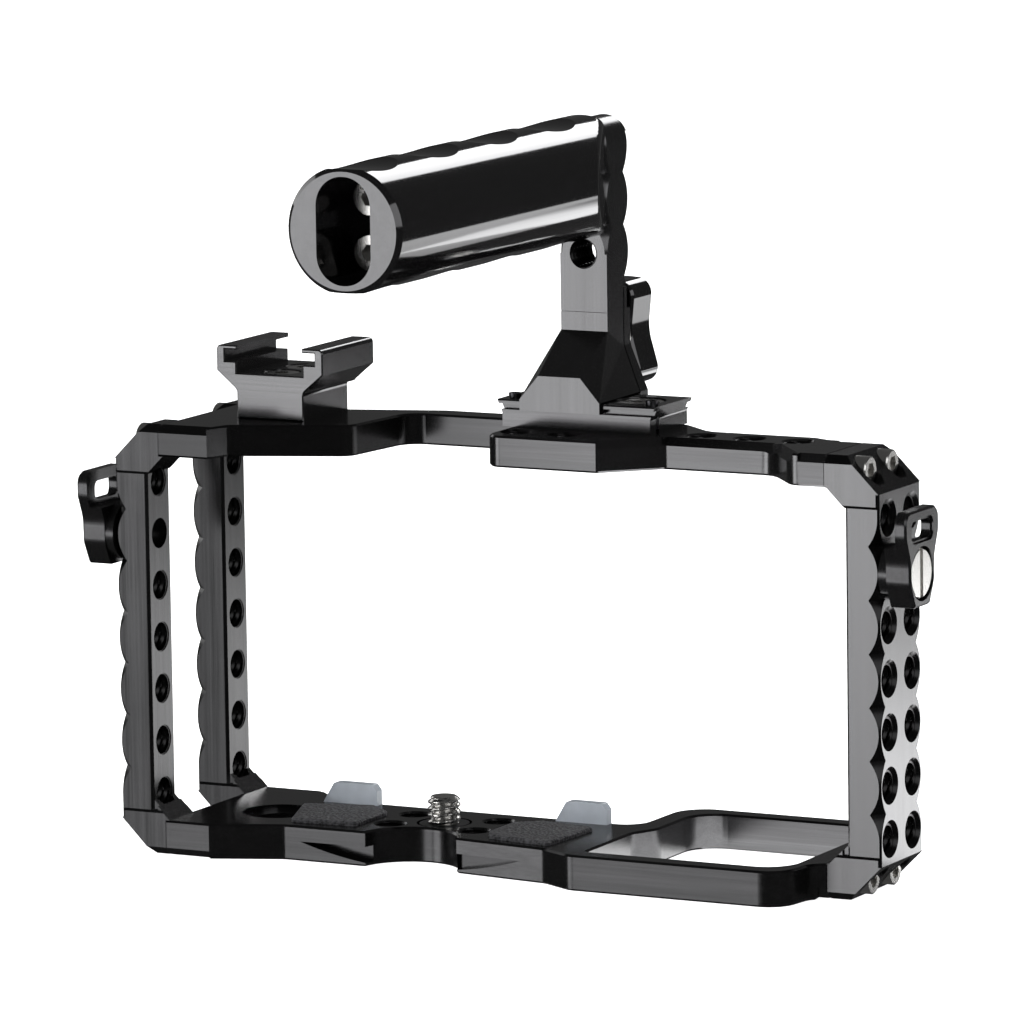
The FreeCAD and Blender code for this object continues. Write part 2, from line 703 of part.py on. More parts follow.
def top_plate():
    """Return the top plate with its notch, handle platform, arms and threaded holes."""
    plate = plan(TOP_OUTLINE, TOP_Z, HEIGHT)
    plate = bevel(plate, "Z", (TOP_Z, HEIGHT), SMALL_BEVEL)
    tools = long_bevels(JOINT_LEFT - 1, TOP_BLOCK_LEFT, FRONT, REAR, None, HEIGHT)
    tools += long_bevels(TOP_BLOCK_RIGHT, JOINT_RIGHT + 1, WALL_FRONT, WALL_REAR, None, HEIGHT)
    tools += [facet_bevel(start, end, size) for start, end, size in TOP_FACETS]
    tools += seams(TOP_Z, HEIGHT)
    for x, y in TOP_HOLES:
        tools += top_hole(x, y, TOP_Z, HEIGHT)
    for x in RAIL_SCREW_X:
        tools.append(rod(HOLE_R, x, RAIL_SCREW_Y, TOP_Z - 1, TOP_T + 2, vec(0, 0, 1)))
    for y in SHOE_SCREW_Y:
        tools.append(rod(SHOE_HOLE_R, SHOE_X, y, TOP_Z - 1, TOP_T + 2, vec(0, 0, 1)))
    tools += end_holes([-POST_Y, POST_Y], JOINT_LEFT, SCREW_Z_HIGH, 1)
    tools += end_holes(WALL_SCREWS_Y, JOINT_RIGHT, SCREW_Z_HIGH, -1)
    return cut(plate, tools)


def facet_bevel(start, end, size):
    """Return the wedge that bevels the top plate's upper edge between two plan points.

    The plate lies to the left of the way from start to end.
    """
    first = vec(start[0], start[1], 0)
    along = vec(end[0], end[1], 0) - first
    length = along.Length
    along.normalize()
    inward = vec(-along.y, along.x, 0)
    top = vec(0, 0, HEIGHT)
    ring = [first - inward + top + vec(0, 0, 1), first + inward * (size + 1) + top + vec(0, 0, 1),
            first + inward * size + top, first + top - vec(0, 0, size),
            first - inward + top - vec(0, 0, size + 1)]
    ring.append(ring[0])
    return Part.Face(Part.makePolygon(ring)).extrude(along * length)


def cold_shoe():
    """Return the cold shoe: stem, flared channel with lips, and a sunk floor."""
    stem = SHOE_STEM / 2
    outer = SHOE_OUTER / 2
    slot = SHOE_SLOT / 2
    mouth = SHOE_MOUTH / 2
    half = [(stem, HEIGHT, 0), (stem, SHOE_FLARE_LOW, 1.5), (outer, SHOE_FLARE_HIGH, 0),
            (outer, SHOE_TOP, 0.9), (mouth, SHOE_TOP, 0), (mouth, SHOE_LIP, 0), (slot, SHOE_LIP, 0),
            (slot, SHOE_SHELF, 0), (mouth + 0.2, SHOE_SHELF, 0), (mouth + 0.2, SHOE_FLOOR, 0)]
    outline = [(SHOE_X + x, z, r) for x, z, r in half]
    outline += [(SHOE_X - x, z, r) for x, z, r in reversed(half)]
    shoe = front_profile(outline, SHOE_FRONT, SHOE_REAR)
    shoe = bevel(shoe, "Y", (SHOE_FRONT, SHOE_REAR), SHOE_BEVEL)
    tools = []
    for y in SHOE_SCREW_Y:
        tools.append(rod(SHOE_SCREW_R + 0.15, SHOE_X, y, HEIGHT - 1, 12, vec(0, 0, 1)))
        tools.append(rod(SHOE_SCREW_HEAD_R + 0.1, SHOE_X, y, SHOE_FLOOR - SHOE_POCKET_DEPTH, 3,
                         vec(0, 0, 1)))
    relief = rod(SHOE_RELIEF_R, SHOE_X + SHOE_STEM / 2 + 1.6, SHOE_REAR, HEIGHT - 1,
                 SHOE_RELIEF_H + 1, vec(0, 0, 1))
    return cut(shoe, tools + [relief])


def cold_shoe_screws():
    """Return the two screws that hold the cold shoe to the top plate."""
    screws = []
    for y in SHOE_SCREW_Y:
        seat = SHOE_FLOOR - SHOE_POCKET_DEPTH + 0.05
        head = rod(SHOE_SCREW_HEAD_R, SHOE_X, y, seat, SHOE_SCREW_HEAD_H, vec(0, 0, 1))
        head = bevel(head, "Z", (seat + SHOE_SCREW_HEAD_H,), HEAD_EDGE)
        shank = rod(SHOE_SCREW_R, SHOE_X, y, TOP_Z + 0.6, seat - TOP_Z - 0.6, vec(0, 0, 1))
        screw = head.fuse(shank).removeSplitter()
        top = vec(SHOE_X, y, seat + SHOE_SCREW_HEAD_H)
        screws.append(screw.cut(hex_socket(top, vec(0, 0, 1), HEX_KEY, 1.1)))
    return Part.makeCompound(screws)


def handle_rail():
    """Return the rail plate: grooved front and rear edges, flared ends, sunk screw seats."""
    front = RAIL_FRONT
    rear = RAIL_REAR
    deep = RAIL_GROOVE
    side = [(front, RAIL_Z, 0), (rear, RAIL_Z, 0), (rear, RAIL_GROOVE_LOW, 0),
            (rear - deep, RAIL_GROOVE_LOW, 0), (rear - deep, RAIL_GROOVE_HIGH, 0),
            (rear, RAIL_GROOVE_HIGH, 0), (rear, RAIL_TOP, RAIL_EDGE_R), (front, RAIL_TOP, RAIL_EDGE_R),
            (front, RAIL_GROOVE_HIGH, 0), (front + deep, RAIL_GROOVE_HIGH, 0),
            (front + deep, RAIL_GROOVE_LOW, 0), (front, RAIL_GROOVE_LOW, 0)]
    rail = side_profile(side, RAIL_LEFT, RAIL_RIGHT)
    tools = []
    for x, way in ((RAIL_LEFT, 1), (RAIL_RIGHT, -1)):
        end = [(x - way, RAIL_Z - 1, 0), (x + way * RAIL_END, RAIL_Z - 1, 0),
               (x + way * RAIL_END, RAIL_GROOVE_LOW - 0.6, 0.8), (x, RAIL_TOP, 0),
               (x - way, RAIL_TOP + 1, 0)]
        tools.append(front_profile(end, front - 1, rear + 1))
    for x in RAIL_SCREW_X:
        tools.append(rod(RAIL_SCREW_R + 0.25, x, RAIL_SCREW_Y, RAIL_Z - 1, 8, vec(0, 0, 1)))
        tools.append(rod(RAIL_SCREW_HEAD_R + 0.15, x, RAIL_SCREW_Y, RAIL_TOP - RAIL_SCREW_HEAD_H - 0.3,
                         4, vec(0, 0, 1)))
    for x in STOP_SCREW_X:
        tools.append(rod(STOP_SCREW_R + 0.05, x, STOP_SCREW_Y, RAIL_Z - 1, 8, vec(0, 0, 1)))
    return cut(rail, tools)


def slotted_head(radius, height, x, y, z):
    """Return a flat screw head that faces up, with a straight driver slot."""
    head = bevel(rod(radius, x, y, z, height, vec(0, 0, 1)), "Z", (z + height,), HEAD_EDGE)
    slot = box(x - radius - 1, x + radius + 1, y - SLOT_W / 2, y + SLOT_W / 2,
               z + height - SLOT_CUT, z + height + 1)
    return head.cut(slot)


def rail_screws():
    """Return the two broad slotted screws that hold the rail plate down."""
    screws = []
    for x in RAIL_SCREW_X:
        z = RAIL_TOP - RAIL_SCREW_HEAD_H - 0.25
        head = slotted_head(RAIL_SCREW_HEAD_R, RAIL_SCREW_HEAD_H, x, RAIL_SCREW_Y, z)
        shank = rod(RAIL_SCREW_R, x, RAIL_SCREW_Y, TOP_Z + 0.5, z - TOP_Z - 0.5 + 0.2, vec(0, 0, 1))
        screws.append(head.fuse(shank).removeSplitter())
    return Part.makeCompound(screws)


def rail_stop_screws():
    """Return the small screws near the rail's ends that stop the handle sliding off."""
    screws = []
    for x in STOP_SCREW_X:
        low = RAIL_Z + 0.6
        high = RAIL_TOP + STOP_SCREW_PROUD
        body = rod(STOP_SCREW_R, x, STOP_SCREW_Y, low, high - low, vec(0, 0, 1))
        body = body.cut(hex_socket(vec(x, STOP_SCREW_Y, high), vec(0, 0, 1), STOP_SCREW_KEY, 0.9))
        screws.append(body)
    return Part.makeCompound(screws)


def polyhedron(points, faces):
    """Return a solid bounded by flat faces over numbered points."""
    sides = []
    for face in faces:
        ring = [points[i] for i in face]
        ring.append(ring[0])
        sides.append(Part.Face(Part.makePolygon(ring)))
    solid = Part.Solid(Part.Shell(sides))
    if solid.Volume < 0:
        solid.reverse()
    return solid


def foot_body():
    """Return the sloping foot between the rail and the upright part of the handle post."""
    x = HANDLE_X
    low, high, bend = FOOT_LOW, FOOT_TOP_Z, FOOT_BEND_Z
    half, rear, edge, post = FOOT_HALF, FOOT_REAR_HALF, FOOT_EDGE_HALF, POST_HALF
    points = [vec(x - half, FOOT_FRONT, low), vec(x + half, FOOT_FRONT, low),
              vec(x + rear, SLIT_Y, low), vec(x - rear, SLIT_Y, low),
              vec(x - edge, FOOT_FRONT, FOOT_EDGE_Z), vec(x + edge, FOOT_FRONT, FOOT_EDGE_Z),
              vec(x - post, POST_FRONT, high), vec(x + post, POST_FRONT, high),
              vec(x + post, SLIT_Y, bend), vec(x - post, SLIT_Y, bend)]
    faces = [(0, 3, 2, 1), (0, 1, 5, 4), (4, 5, 7, 6), (6, 7, 8, 9), (3, 9, 8, 2),
             (1, 2, 8), (1, 8, 7), (1, 7, 5), (0, 9, 3), (0, 6, 9), (0, 4, 6)]
    return polyhedron(points, faces)


def handle_post():
    """Return the handle post: sloping foot with a front hook, slim upright and round top."""
    x = HANDLE_X
    upright = [(x - POST_HALF, FOOT_BEND_Z, 0), (x + POST_HALF, FOOT_BEND_Z, 0),
               (x + POST_HALF, HANDLE_TOP, POST_HALF - 0.05), (x - POST_HALF, HANDLE_TOP, POST_HALF - 0.05)]
    column = front_profile(upright, POST_FRONT, POST_REAR)
    hook_low = RAIL_GROOVE_LOW + 0.1
    lip_top = RAIL_GROOVE_HIGH - 0.12
    half = FOOT_HALF
    lip_in = RAIL_FRONT + RAIL_GROOVE - 0.25
    hook = box(x - half, x + half, FOOT_FRONT, RAIL_FRONT - 0.15, hook_low, FOOT_LOW)
    lip = box(x - half, x + half, FOOT_FRONT, lip_in, hook_low, lip_top)
    post = fuse([foot_body(), column, hook, lip])
    wide = POST_HALF * 2
    tools = [box(x - wide, x + wide, SLIT_Y, POST_REAR + 1, FOOT_LOW - 5, JAW_TOP),
             box(x - wide, x + wide, POST_FRONT - 1, POST_FRONT + SEAM_DEPTH, SEAM_Z, SEAM_Z + SEAM)]
    for y, inward in ((POST_FRONT, 1), (POST_REAR, -1)):
        for side in (-1, 1):
            tools.append(post_edge(x + side * POST_HALF, y, side, -inward))
    tools.append(rod(HOLE_R, x, POST_FRONT - 1, HANDLE_HOLE_Z, 12, vec(0, 1, 0)))
    for z in (GRIP_Z - TIE_OFFSET, GRIP_Z + TIE_OFFSET):
        tools.append(rod(TIE_HOLE_R, x, POST_FRONT - 1, z, 12, vec(0, 1, 0)))
    tools.append(rod(CLAMP_THREAD_R, x, CLAMP_TIP_Y - 0.6, KNOB_Z, 12, vec(0, 1, 0)))
    tools.append(rod(PIN_HOLE_R, x, SLIT_Y - 5.1, PIN_Z, 6, vec(0, 1, 0)))
    return cut(post, tools)


def post_edge(x, y, way_x, way_y):
    """Return the cutter that leaves lobes along one upright edge of the handle post."""
    inward = vec(-way_x, -way_y, 0).normalize()
    along = vec(way_x, -way_y, 0).normalize()
    corner = vec(x, y, 0)
    low = POST_LOBES_REAR if way_y > 0 else POST_LOBES_FRONT
    high = HANDLE_TOP - 3.0
    slab = edge_strip(corner - inward * 2.0, inward, along, 5.2, POST_HALF, low, high)
    lobes = []
    for k in range(-1, 3):
        z = HANDLE_HOLE_Z + HOLE_PITCH * k
        centre = corner + inward * (POST_LOBE_LOW + LOBE_R) - along * (POST_HALF + 1) + vec(0, 0, z)
        lobes.append(Part.makeCylinder(LOBE_R, 2 * POST_HALF + 2, centre, along))
    return cut(slab, lobes)


def clamp_jaw():
    """Return the rear clamp jaw, which hooks into the groove in the rail's rear edge."""
    x = HANDLE_X
    near = SLIT_Y + JAW_GAP
    low, bend = FOOT_LOW, FOOT_BEND_Z
    half, post = FOOT_REAR_HALF, POST_HALF
    points = [vec(x - half, near, low), vec(x + half, near, low), vec(x + half, JAW_HEEL, low),
              vec(x - half, JAW_HEEL, low), vec(x - post, near, bend), vec(x + post, near, bend),
              vec(x + post, POST_REAR, bend), vec(x - post, POST_REAR, bend)]
    faces = [(0, 3, 2, 1), (0, 1, 5, 4), (2, 3, 7, 6), (4, 5, 6, 7), (1, 2, 6, 5), (0, 4, 7, 3)]
    wedge = polyhedron(points, faces)
    plate = box(x - post, x + post, near, POST_REAR, bend, JAW_TOP - 0.4)
    hook_low = RAIL_GROOVE_LOW + 0.1
    lip_top = RAIL_GROOVE_HIGH - 0.12
    hook = box(x - half, x + half, RAIL_REAR + 0.15, JAW_HEEL, hook_low, low - JAW_GAP)
    heel = box(x - half, x + half, near, JAW_HEEL, hook_low, low)
    lip = box(x - half, x + half, RAIL_REAR - RAIL_GROOVE + 0.25, RAIL_REAR + 0.15, hook_low, lip_top)
    jaw = fuse([wedge, plate, hook, heel, lip])
    bore = rod(CLAMP_CLEAR_R, x, near - 1, KNOB_Z, 10, vec(0, 1, 0))
    pin = rod(PIN_R, x, near - 1, PIN_Z, PIN_FAR - near + 1, vec(0, 1, 0))
    seat = rod(WASHER_R + 0.4, x, POST_REAR, KNOB_Z, 3, vec(0, 1, 0))
    edges = []
    for side in (-1, 1):
        inward = vec(-side, -1, 0).normalize()
        along = vec(side, -1, 0).normalize()
        corner = vec(x + side * post, POST_REAR, 0)
        edges.append(edge_strip(corner - inward * 2, inward, along, 2 + JAW_EDGE, post, KNOB_Z + WASHER_R + 1,
                                JAW_TOP))
    return cut(jaw, [bore, pin, seat] + edges)


def jaw_pin():
    """Return the dowel pin that keeps the jaw square to the post."""
    return rod(PIN_R, HANDLE_X, PIN_NEAR, PIN_Z, PIN_FAR - PIN_NEAR, vec(0, 1, 0))


def knob_washer():
    """Return the thrust washer between the knob and the jaw."""
    washer = rod(WASHER_R, HANDLE_X, POST_REAR + 0.05, KNOB_Z, WASHER_T, vec(0, 1, 0))
    return washer.cut(rod(CLAMP_R + 0.08, HANDLE_X, POST_REAR - 1, KNOB_Z, 6, vec(0, 1, 0)))


def clamp_screw():
    """Return the threaded stud that the knob turns."""
    stud = rod(CLAMP_R, HANDLE_X, CLAMP_TIP_Y, KNOB_Z, KNOB_REAR - KNOB_CAP - CLAMP_TIP_Y, vec(0, 1, 0))
    return bevel(stud, "Y", (CLAMP_TIP_Y,), 0.4)


def clamp_knob():
    """Return the thumb knob: two broad lobes with a waist between, set slightly off upright."""
    tilt = math.radians(KNOB_TILT)
    ends = KNOB_HALF_LENGTH
    half = [(KNOB_HALF_WIDTH, ends - 0.6, KNOB_CORNER_R), (KNOB_WAIST, 1.2, KNOB_WAIST_R),
            (KNOB_WAIST, -1.2, KNOB_WAIST_R), (KNOB_HALF_WIDTH, 0.6 - ends, KNOB_CORNER_R),
            (0, -ends - 0.3, 12.0)]
    outline = half + [(-u, -v, r) for u, v, r in half]
    turned = []
    for u, v, r in outline:
        turned.append((HANDLE_X + u * math.cos(tilt) - v * math.sin(tilt),
                       KNOB_Z + u * math.sin(tilt) + v * math.cos(tilt), r))
    knob = front_profile(turned, KNOB_FRONT, KNOB_REAR)
    knob = bevel(knob, "Y", (KNOB_FRONT, KNOB_REAR), KNOB_BEVEL)
    face = POST_REAR + 0.05 + WASHER_T + 0.05
    collar = rod(KNOB_HUB_R, HANDLE_X, face, KNOB_Z, KNOB_FRONT - face + 1.0, vec(0, 1, 0))
    knob = fuse([knob, collar])
    return knob.cut(rod(CLAMP_R, HANDLE_X, POST_REAR, KNOB_Z, KNOB_REAR - KNOB_CAP - POST_REAR,
                        vec(0, 1, 0)))


def handle_grip():
    """Return the round grip with scallops above and below and a stadium pocket in its end."""
    x = HANDLE_X
    length = POST_FRONT - GRIP_NEAR
    bar = rod(GRIP_R, x, GRIP_NEAR, GRIP_Z, length, vec(0, 1, 0))
    bar = bevel(bar, "Y", (GRIP_NEAR,), GRIP_BEVEL)
    bar = tapered_end(bar)
    tools = []
    for k in range(SCALLOP_COUNT):
        y = SCALLOP_FIRST + SCALLOP_PITCH * k
        for side in (-1, 1):
            z = GRIP_Z + side * (GRIP_R - SCALLOP_DEEP + SCALLOP_R)
            tools.append(rod(SCALLOP_R, x - 20, y, z, 40, vec(1, 0, 0)))
    width, tall = SLOT_HALF_WIDTH, SLOT_HALF_HEIGHT
    corners = [(x - width, GRIP_Z - tall + 0.6, width - 0.05), (x + width, GRIP_Z - tall + 0.6, width - 0.05),
               (x + width, GRIP_Z + tall - 0.6, width - 0.05), (x - width, GRIP_Z + tall - 0.6, width - 0.05)]
    tools.append(front_profile(corners, GRIP_NEAR - 1, GRIP_NEAR + SLOT_DEPTH))
    for z in (GRIP_Z - TIE_OFFSET, GRIP_Z + TIE_OFFSET):
        tools.append(rod(TIE_CLEAR_R, x, GRIP_NEAR, z, length + 1, vec(0, 1, 0)))
    return cut(bar, tools)


def tapered_end(bar):
    """Narrow the bar's far end, seen from above, to the width of the post."""
    x = HANDLE_X
    wide = GRIP_R + 1
    outline = [(x - wide, GRIP_NEAR - 1, 0), (x + wide, GRIP_NEAR - 1, 0), (x + wide, GRIP_TAPER_Y - 2, 0),
               (x + POST_HALF - 0.05, POST_FRONT, 0), (x - POST_HALF + 0.05, POST_FRONT, 0),
               (x - wide, GRIP_TAPER_Y - 2, 0)]
    prism = plan(outline, GRIP_Z - wide, GRIP_Z + wide)
    narrow = bar.common(prism)
    edges = []
    for edge in narrow.Edges:
        bounds = edge.BoundBox
        if bounds.YLength > 5 and bounds.YMin > GRIP_TAPER_Y - 3 and bounds.XLength > 2:
            edges.append(edge)
    return narrow.makeFillet(GRIP_TAPER_EDGE_R, edges)


def handle_grip_screws():
    """Return the two long socket screws that tie the grip to the post."""
    screws = []
    seat = GRIP_NEAR + SLOT_DEPTH
    for z in (GRIP_Z - TIE_OFFSET, GRIP_Z + TIE_OFFSET):
        head = rod(TIE_HEAD_R, HANDLE_X, seat - TIE_HEAD_H, z, TIE_HEAD_H, vec(0, 1, 0))
        head = bevel(head, "Y", (seat - TIE_HEAD_H,), HEAD_EDGE)
        shank = rod(TIE_R, HANDLE_X, seat, z, POST_REAR - 1.6 - seat, vec(0, 1, 0))
        screw = head.fuse(shank).removeSplitter()
        socket = hex_socket(vec(HANDLE_X, seat - TIE_HEAD_H, z), vec(0, -1, 0), TIE_KEY, 2.0)
        screws.append(screw.cut(socket))
    return Part.makeCompound(screws)


def lug_axis(side):
    """Return the place and way of one strap lug's axis."""
    if side < 0:
        return LEFT, -1, -POST_Y
    return RIGHT, 1, WALL_COLUMNS[0]


def strap_lug(side):
    """Return one strap lug: round neck, tapered body, outer plate and strap slot above."""
    wall, way, y = lug_axis(side)
    z = HOLE_FIRST + HOLE_PITCH * LUG_ROW
    x0 = wall + way * LUG_GAP
    x1 = wall + way * LUG_NECK
    x2 = wall + way * (LUG_OUT - LUG_PLATE)
    x3 = wall + way * LUG_OUT
    neck = rod(LUG_NECK_R, x0, y, z, abs(x1 - x0), vec(way, 0, 0))
    right = [(y + u, z + v, r) for u, v, r in LUG_HALF]
    left = [(y - u, z + v, r) for u, v, r in reversed(LUG_HALF)]
    top = [(y + LUG_HALF[-1][0], z + LUG_TOP, LUG_TOP_R), (y - LUG_HALF[-1][0], z + LUG_TOP, LUG_TOP_R)]
    outline = right + top + left
    plate = bevel(side_profile(outline, min(x2, x3), max(x2, x3)), "X", (x3,), LUG_BEVEL)
    body = side_profile(outline, min(x1, x2), max(x1, x2))
    body = body.cut(box(min(x1, x2) - 1, max(x1, x2) + 1, y - 10, y + 10, z + LUG_SHELF, z + LUG_TOP + 1))
    lug = fuse([neck, body, plate])
    half, low, high = LUG_SLOT_HALF, z + LUG_SLOT_LOW, z + LUG_SLOT_HIGH
    slot = [(y - half, low, 1.3), (y + half, low, 1.3), (y + half, high, 1.3), (y - half, high, 1.3)]
    slot_tool = side_profile(slot, min(x0, x3) - 1, max(x0, x3))
    rim = [(y - half - 0.5, low - 0.5, 1.6), (y + half + 0.5, low - 0.5, 1.6),
           (y + half + 0.5, high + 0.5, 1.6), (y - half - 0.5, high + 0.5, 1.6)]
    rim_tool = side_profile(rim, min(x3 - way * 0.5, x3), max(x3 - way * 0.5, x3))
    tools = [slot_tool, rim_tool, rod(LUG_BORE_R, x0 - way, y, z, LUG_OUT + 2, vec(way, 0, 0)),
             rod(LUG_POCKET_R, x3 - way * LUG_POCKET_DEPTH, y, z, 4, vec(way, 0, 0))]
    return cut(lug, tools)


def lug_screw(side):
    """Return the shoulder screw that one strap lug swivels on."""
    wall, way, y = lug_axis(side)
    z = HOLE_FIRST + HOLE_PITCH * LUG_ROW
    out = vec(way, 0, 0)
    seat = wall + way * (LUG_OUT - LUG_POCKET_DEPTH + 0.05)
    head = rod(LUG_HEAD_R, seat, y, z, LUG_HEAD_H, out)
    face = seat + way * LUG_HEAD_H
    head = bevel(head, "X", (face,), HEAD_EDGE)
    slot_x = sorted((face - way * SLOT_CUT, face + way))
    slot = box(slot_x[0], slot_x[1], y - SLOT_W / 2, y + SLOT_W / 2, z - LUG_HEAD_R - 1,
               z + LUG_HEAD_R + 1)
    head = head.cut(slot)
    shoulder = rod(LUG_SHOULDER_R, wall + way * 0.02, y, z, abs(seat - wall) - 0.02, out)
    thread = rod(LUG_THREAD_R, wall - way * LUG_THREAD_DEPTH, y, z, LUG_THREAD_DEPTH + 0.1, out)
    return fuse([head, shoulder, thread])


def build():
    """Return every piece by its node name."""
    return {
        "base_plate": base_plate(),
        "left_front_post": left_front_post(),
        "left_rear_post": left_rear_post(),
        "right_wall": right_wall(),
        "top_plate": top_plate(),
        "left_front_post_screws": joint_screws(LEFT, [-POST_Y]),
        "left_rear_post_screws": joint_screws(LEFT, [POST_Y]),
        "right_wall_screws": joint_screws(RIGHT, WALL_SCREWS_Y),
        "cold_shoe": cold_shoe(),
        "cold_shoe_screws": cold_shoe_screws(),
        "handle_rail": handle_rail(),
        "rail_screws": rail_screws(),
        "rail_stop_screws": rail_stop_screws(),
        "handle_post": handle_post(),
        "clamp_jaw": clamp_jaw(),
        "jaw_pin": jaw_pin(),
        "knob_washer": knob_washer(),
        "clamp_screw": clamp_screw(),
        "clamp_knob": clamp_knob(),
        "handle_grip": handle_grip(),
        "handle_grip_screws": handle_grip_screws(),
        "left_pad": rubber_pad(-1),
        "right_pad": rubber_pad(1),
        "left_stop": stop_block(-1, 0),
        "right_stop": stop_block(1, 0),
        "camera_screw": camera_screw(),
        "camera_screw_ring": camera_screw_ring(),
        "left_strap_lug": strap_lug(-1),
        "right_strap_lug": strap_lug(1),
        "left_lug_screw": lug_screw(-1),
        "right_lug_screw": lug_screw(1),
    }


os.makedirs("parts", exist_ok=True)
for node, shape in build().items():
    shape.translate(vec(-CENTRE_X, -CENTRE_Y, 0))
    shape.exportStep("parts/" + node + ".step")
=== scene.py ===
"""Studio view of a black anodised camera cage with a clamped top handle.

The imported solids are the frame. This file gives them their finishes, cuts screw threads into
the holes, and sets the camera, the floor and the lights. Lengths in the classes are millimetres
in the plan used for the solids: X and Y from the camera screw's axis, Z from the underside.
"""
from __future__ import annotations

import logging
import math
from dataclasses import dataclass, field
from enum import Enum
from typing import Any, Iterable, Sequence

import bpy
import numpy as np
from mathutils import Matrix, Vector

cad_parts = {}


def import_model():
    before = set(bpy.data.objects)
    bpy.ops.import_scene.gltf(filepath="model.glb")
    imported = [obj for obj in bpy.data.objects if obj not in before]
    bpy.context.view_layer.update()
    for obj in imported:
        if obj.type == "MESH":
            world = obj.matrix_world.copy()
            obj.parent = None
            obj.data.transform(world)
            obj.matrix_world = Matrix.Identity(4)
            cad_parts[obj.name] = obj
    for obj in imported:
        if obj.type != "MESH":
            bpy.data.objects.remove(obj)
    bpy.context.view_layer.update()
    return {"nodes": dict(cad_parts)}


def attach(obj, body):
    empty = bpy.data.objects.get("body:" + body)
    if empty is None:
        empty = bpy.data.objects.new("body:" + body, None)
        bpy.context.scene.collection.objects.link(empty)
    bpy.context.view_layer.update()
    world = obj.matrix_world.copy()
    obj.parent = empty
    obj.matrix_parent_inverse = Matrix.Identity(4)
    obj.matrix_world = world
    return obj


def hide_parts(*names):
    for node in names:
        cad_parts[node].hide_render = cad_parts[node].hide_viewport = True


LOG = logging.getLogger("camera_cage")
MM = 0.001
PLAN_CENTRE = np.array([17.65, -23.6, 0.0])


def metres(points: Any) -> np.ndarray:
    """Return plan millimetres as metres from the object's own origin."""
    return (np.asarray(points, dtype=float) - PLAN_CENTRE) * MM


class Along(Enum):
    """The direction that fine machining lines run in."""

    X = (0.012, 1.0, 1.0)
    Y = (1.0, 0.012, 1.0)
    Z = (1.0, 1.0, 0.012)


class Socket:
    """A shader socket that adds Math nodes when it is used in an expression."""

    def __init__(self, tree: "ShaderTree", output: Any) -> None:
        """Keep the tree and the node output that this value comes from."""
        self.tree = tree
        self.output = output

    def _math(self, operation: str, first: Any, second: Any = None) -> "Socket":
        """Add one Math node and return its value."""
        values = {0: first}
        if second is not None:
            values[1] = second
        return self.tree.node("ShaderNodeMath", {"operation": operation}, values)

    def __add__(self, other: Any) -> "Socket":
        """Add."""
        return self._math("ADD", self, other)

    __radd__ = __add__

    def __mul__(self, other: Any) -> "Socket":
        """Multiply."""
        return self._math("MULTIPLY", self, other)

    __rmul__ = __mul__

    def __sub__(self, other: Any) -> "Socket":
        """Subtract."""
        return self._math("SUBTRACT", self, other)

    def __rsub__(self, other: Any) -> "Socket":
        """Subtract from a number."""
        return self._math("SUBTRACT", other, self)

    def size(self) -> "Socket":
        """Drop the sign."""
        return self._math("ABSOLUTE", self)

    def larger(self, other: Any) -> "Socket":
        """Return the larger of this value and another."""
        return self._math("MAXIMUM", self, other)

    def clamp(self) -> "Socket":
        """Hold the value between 0 and 1."""
        return self._math("MINIMUM", self.larger(0.0), 1.0)


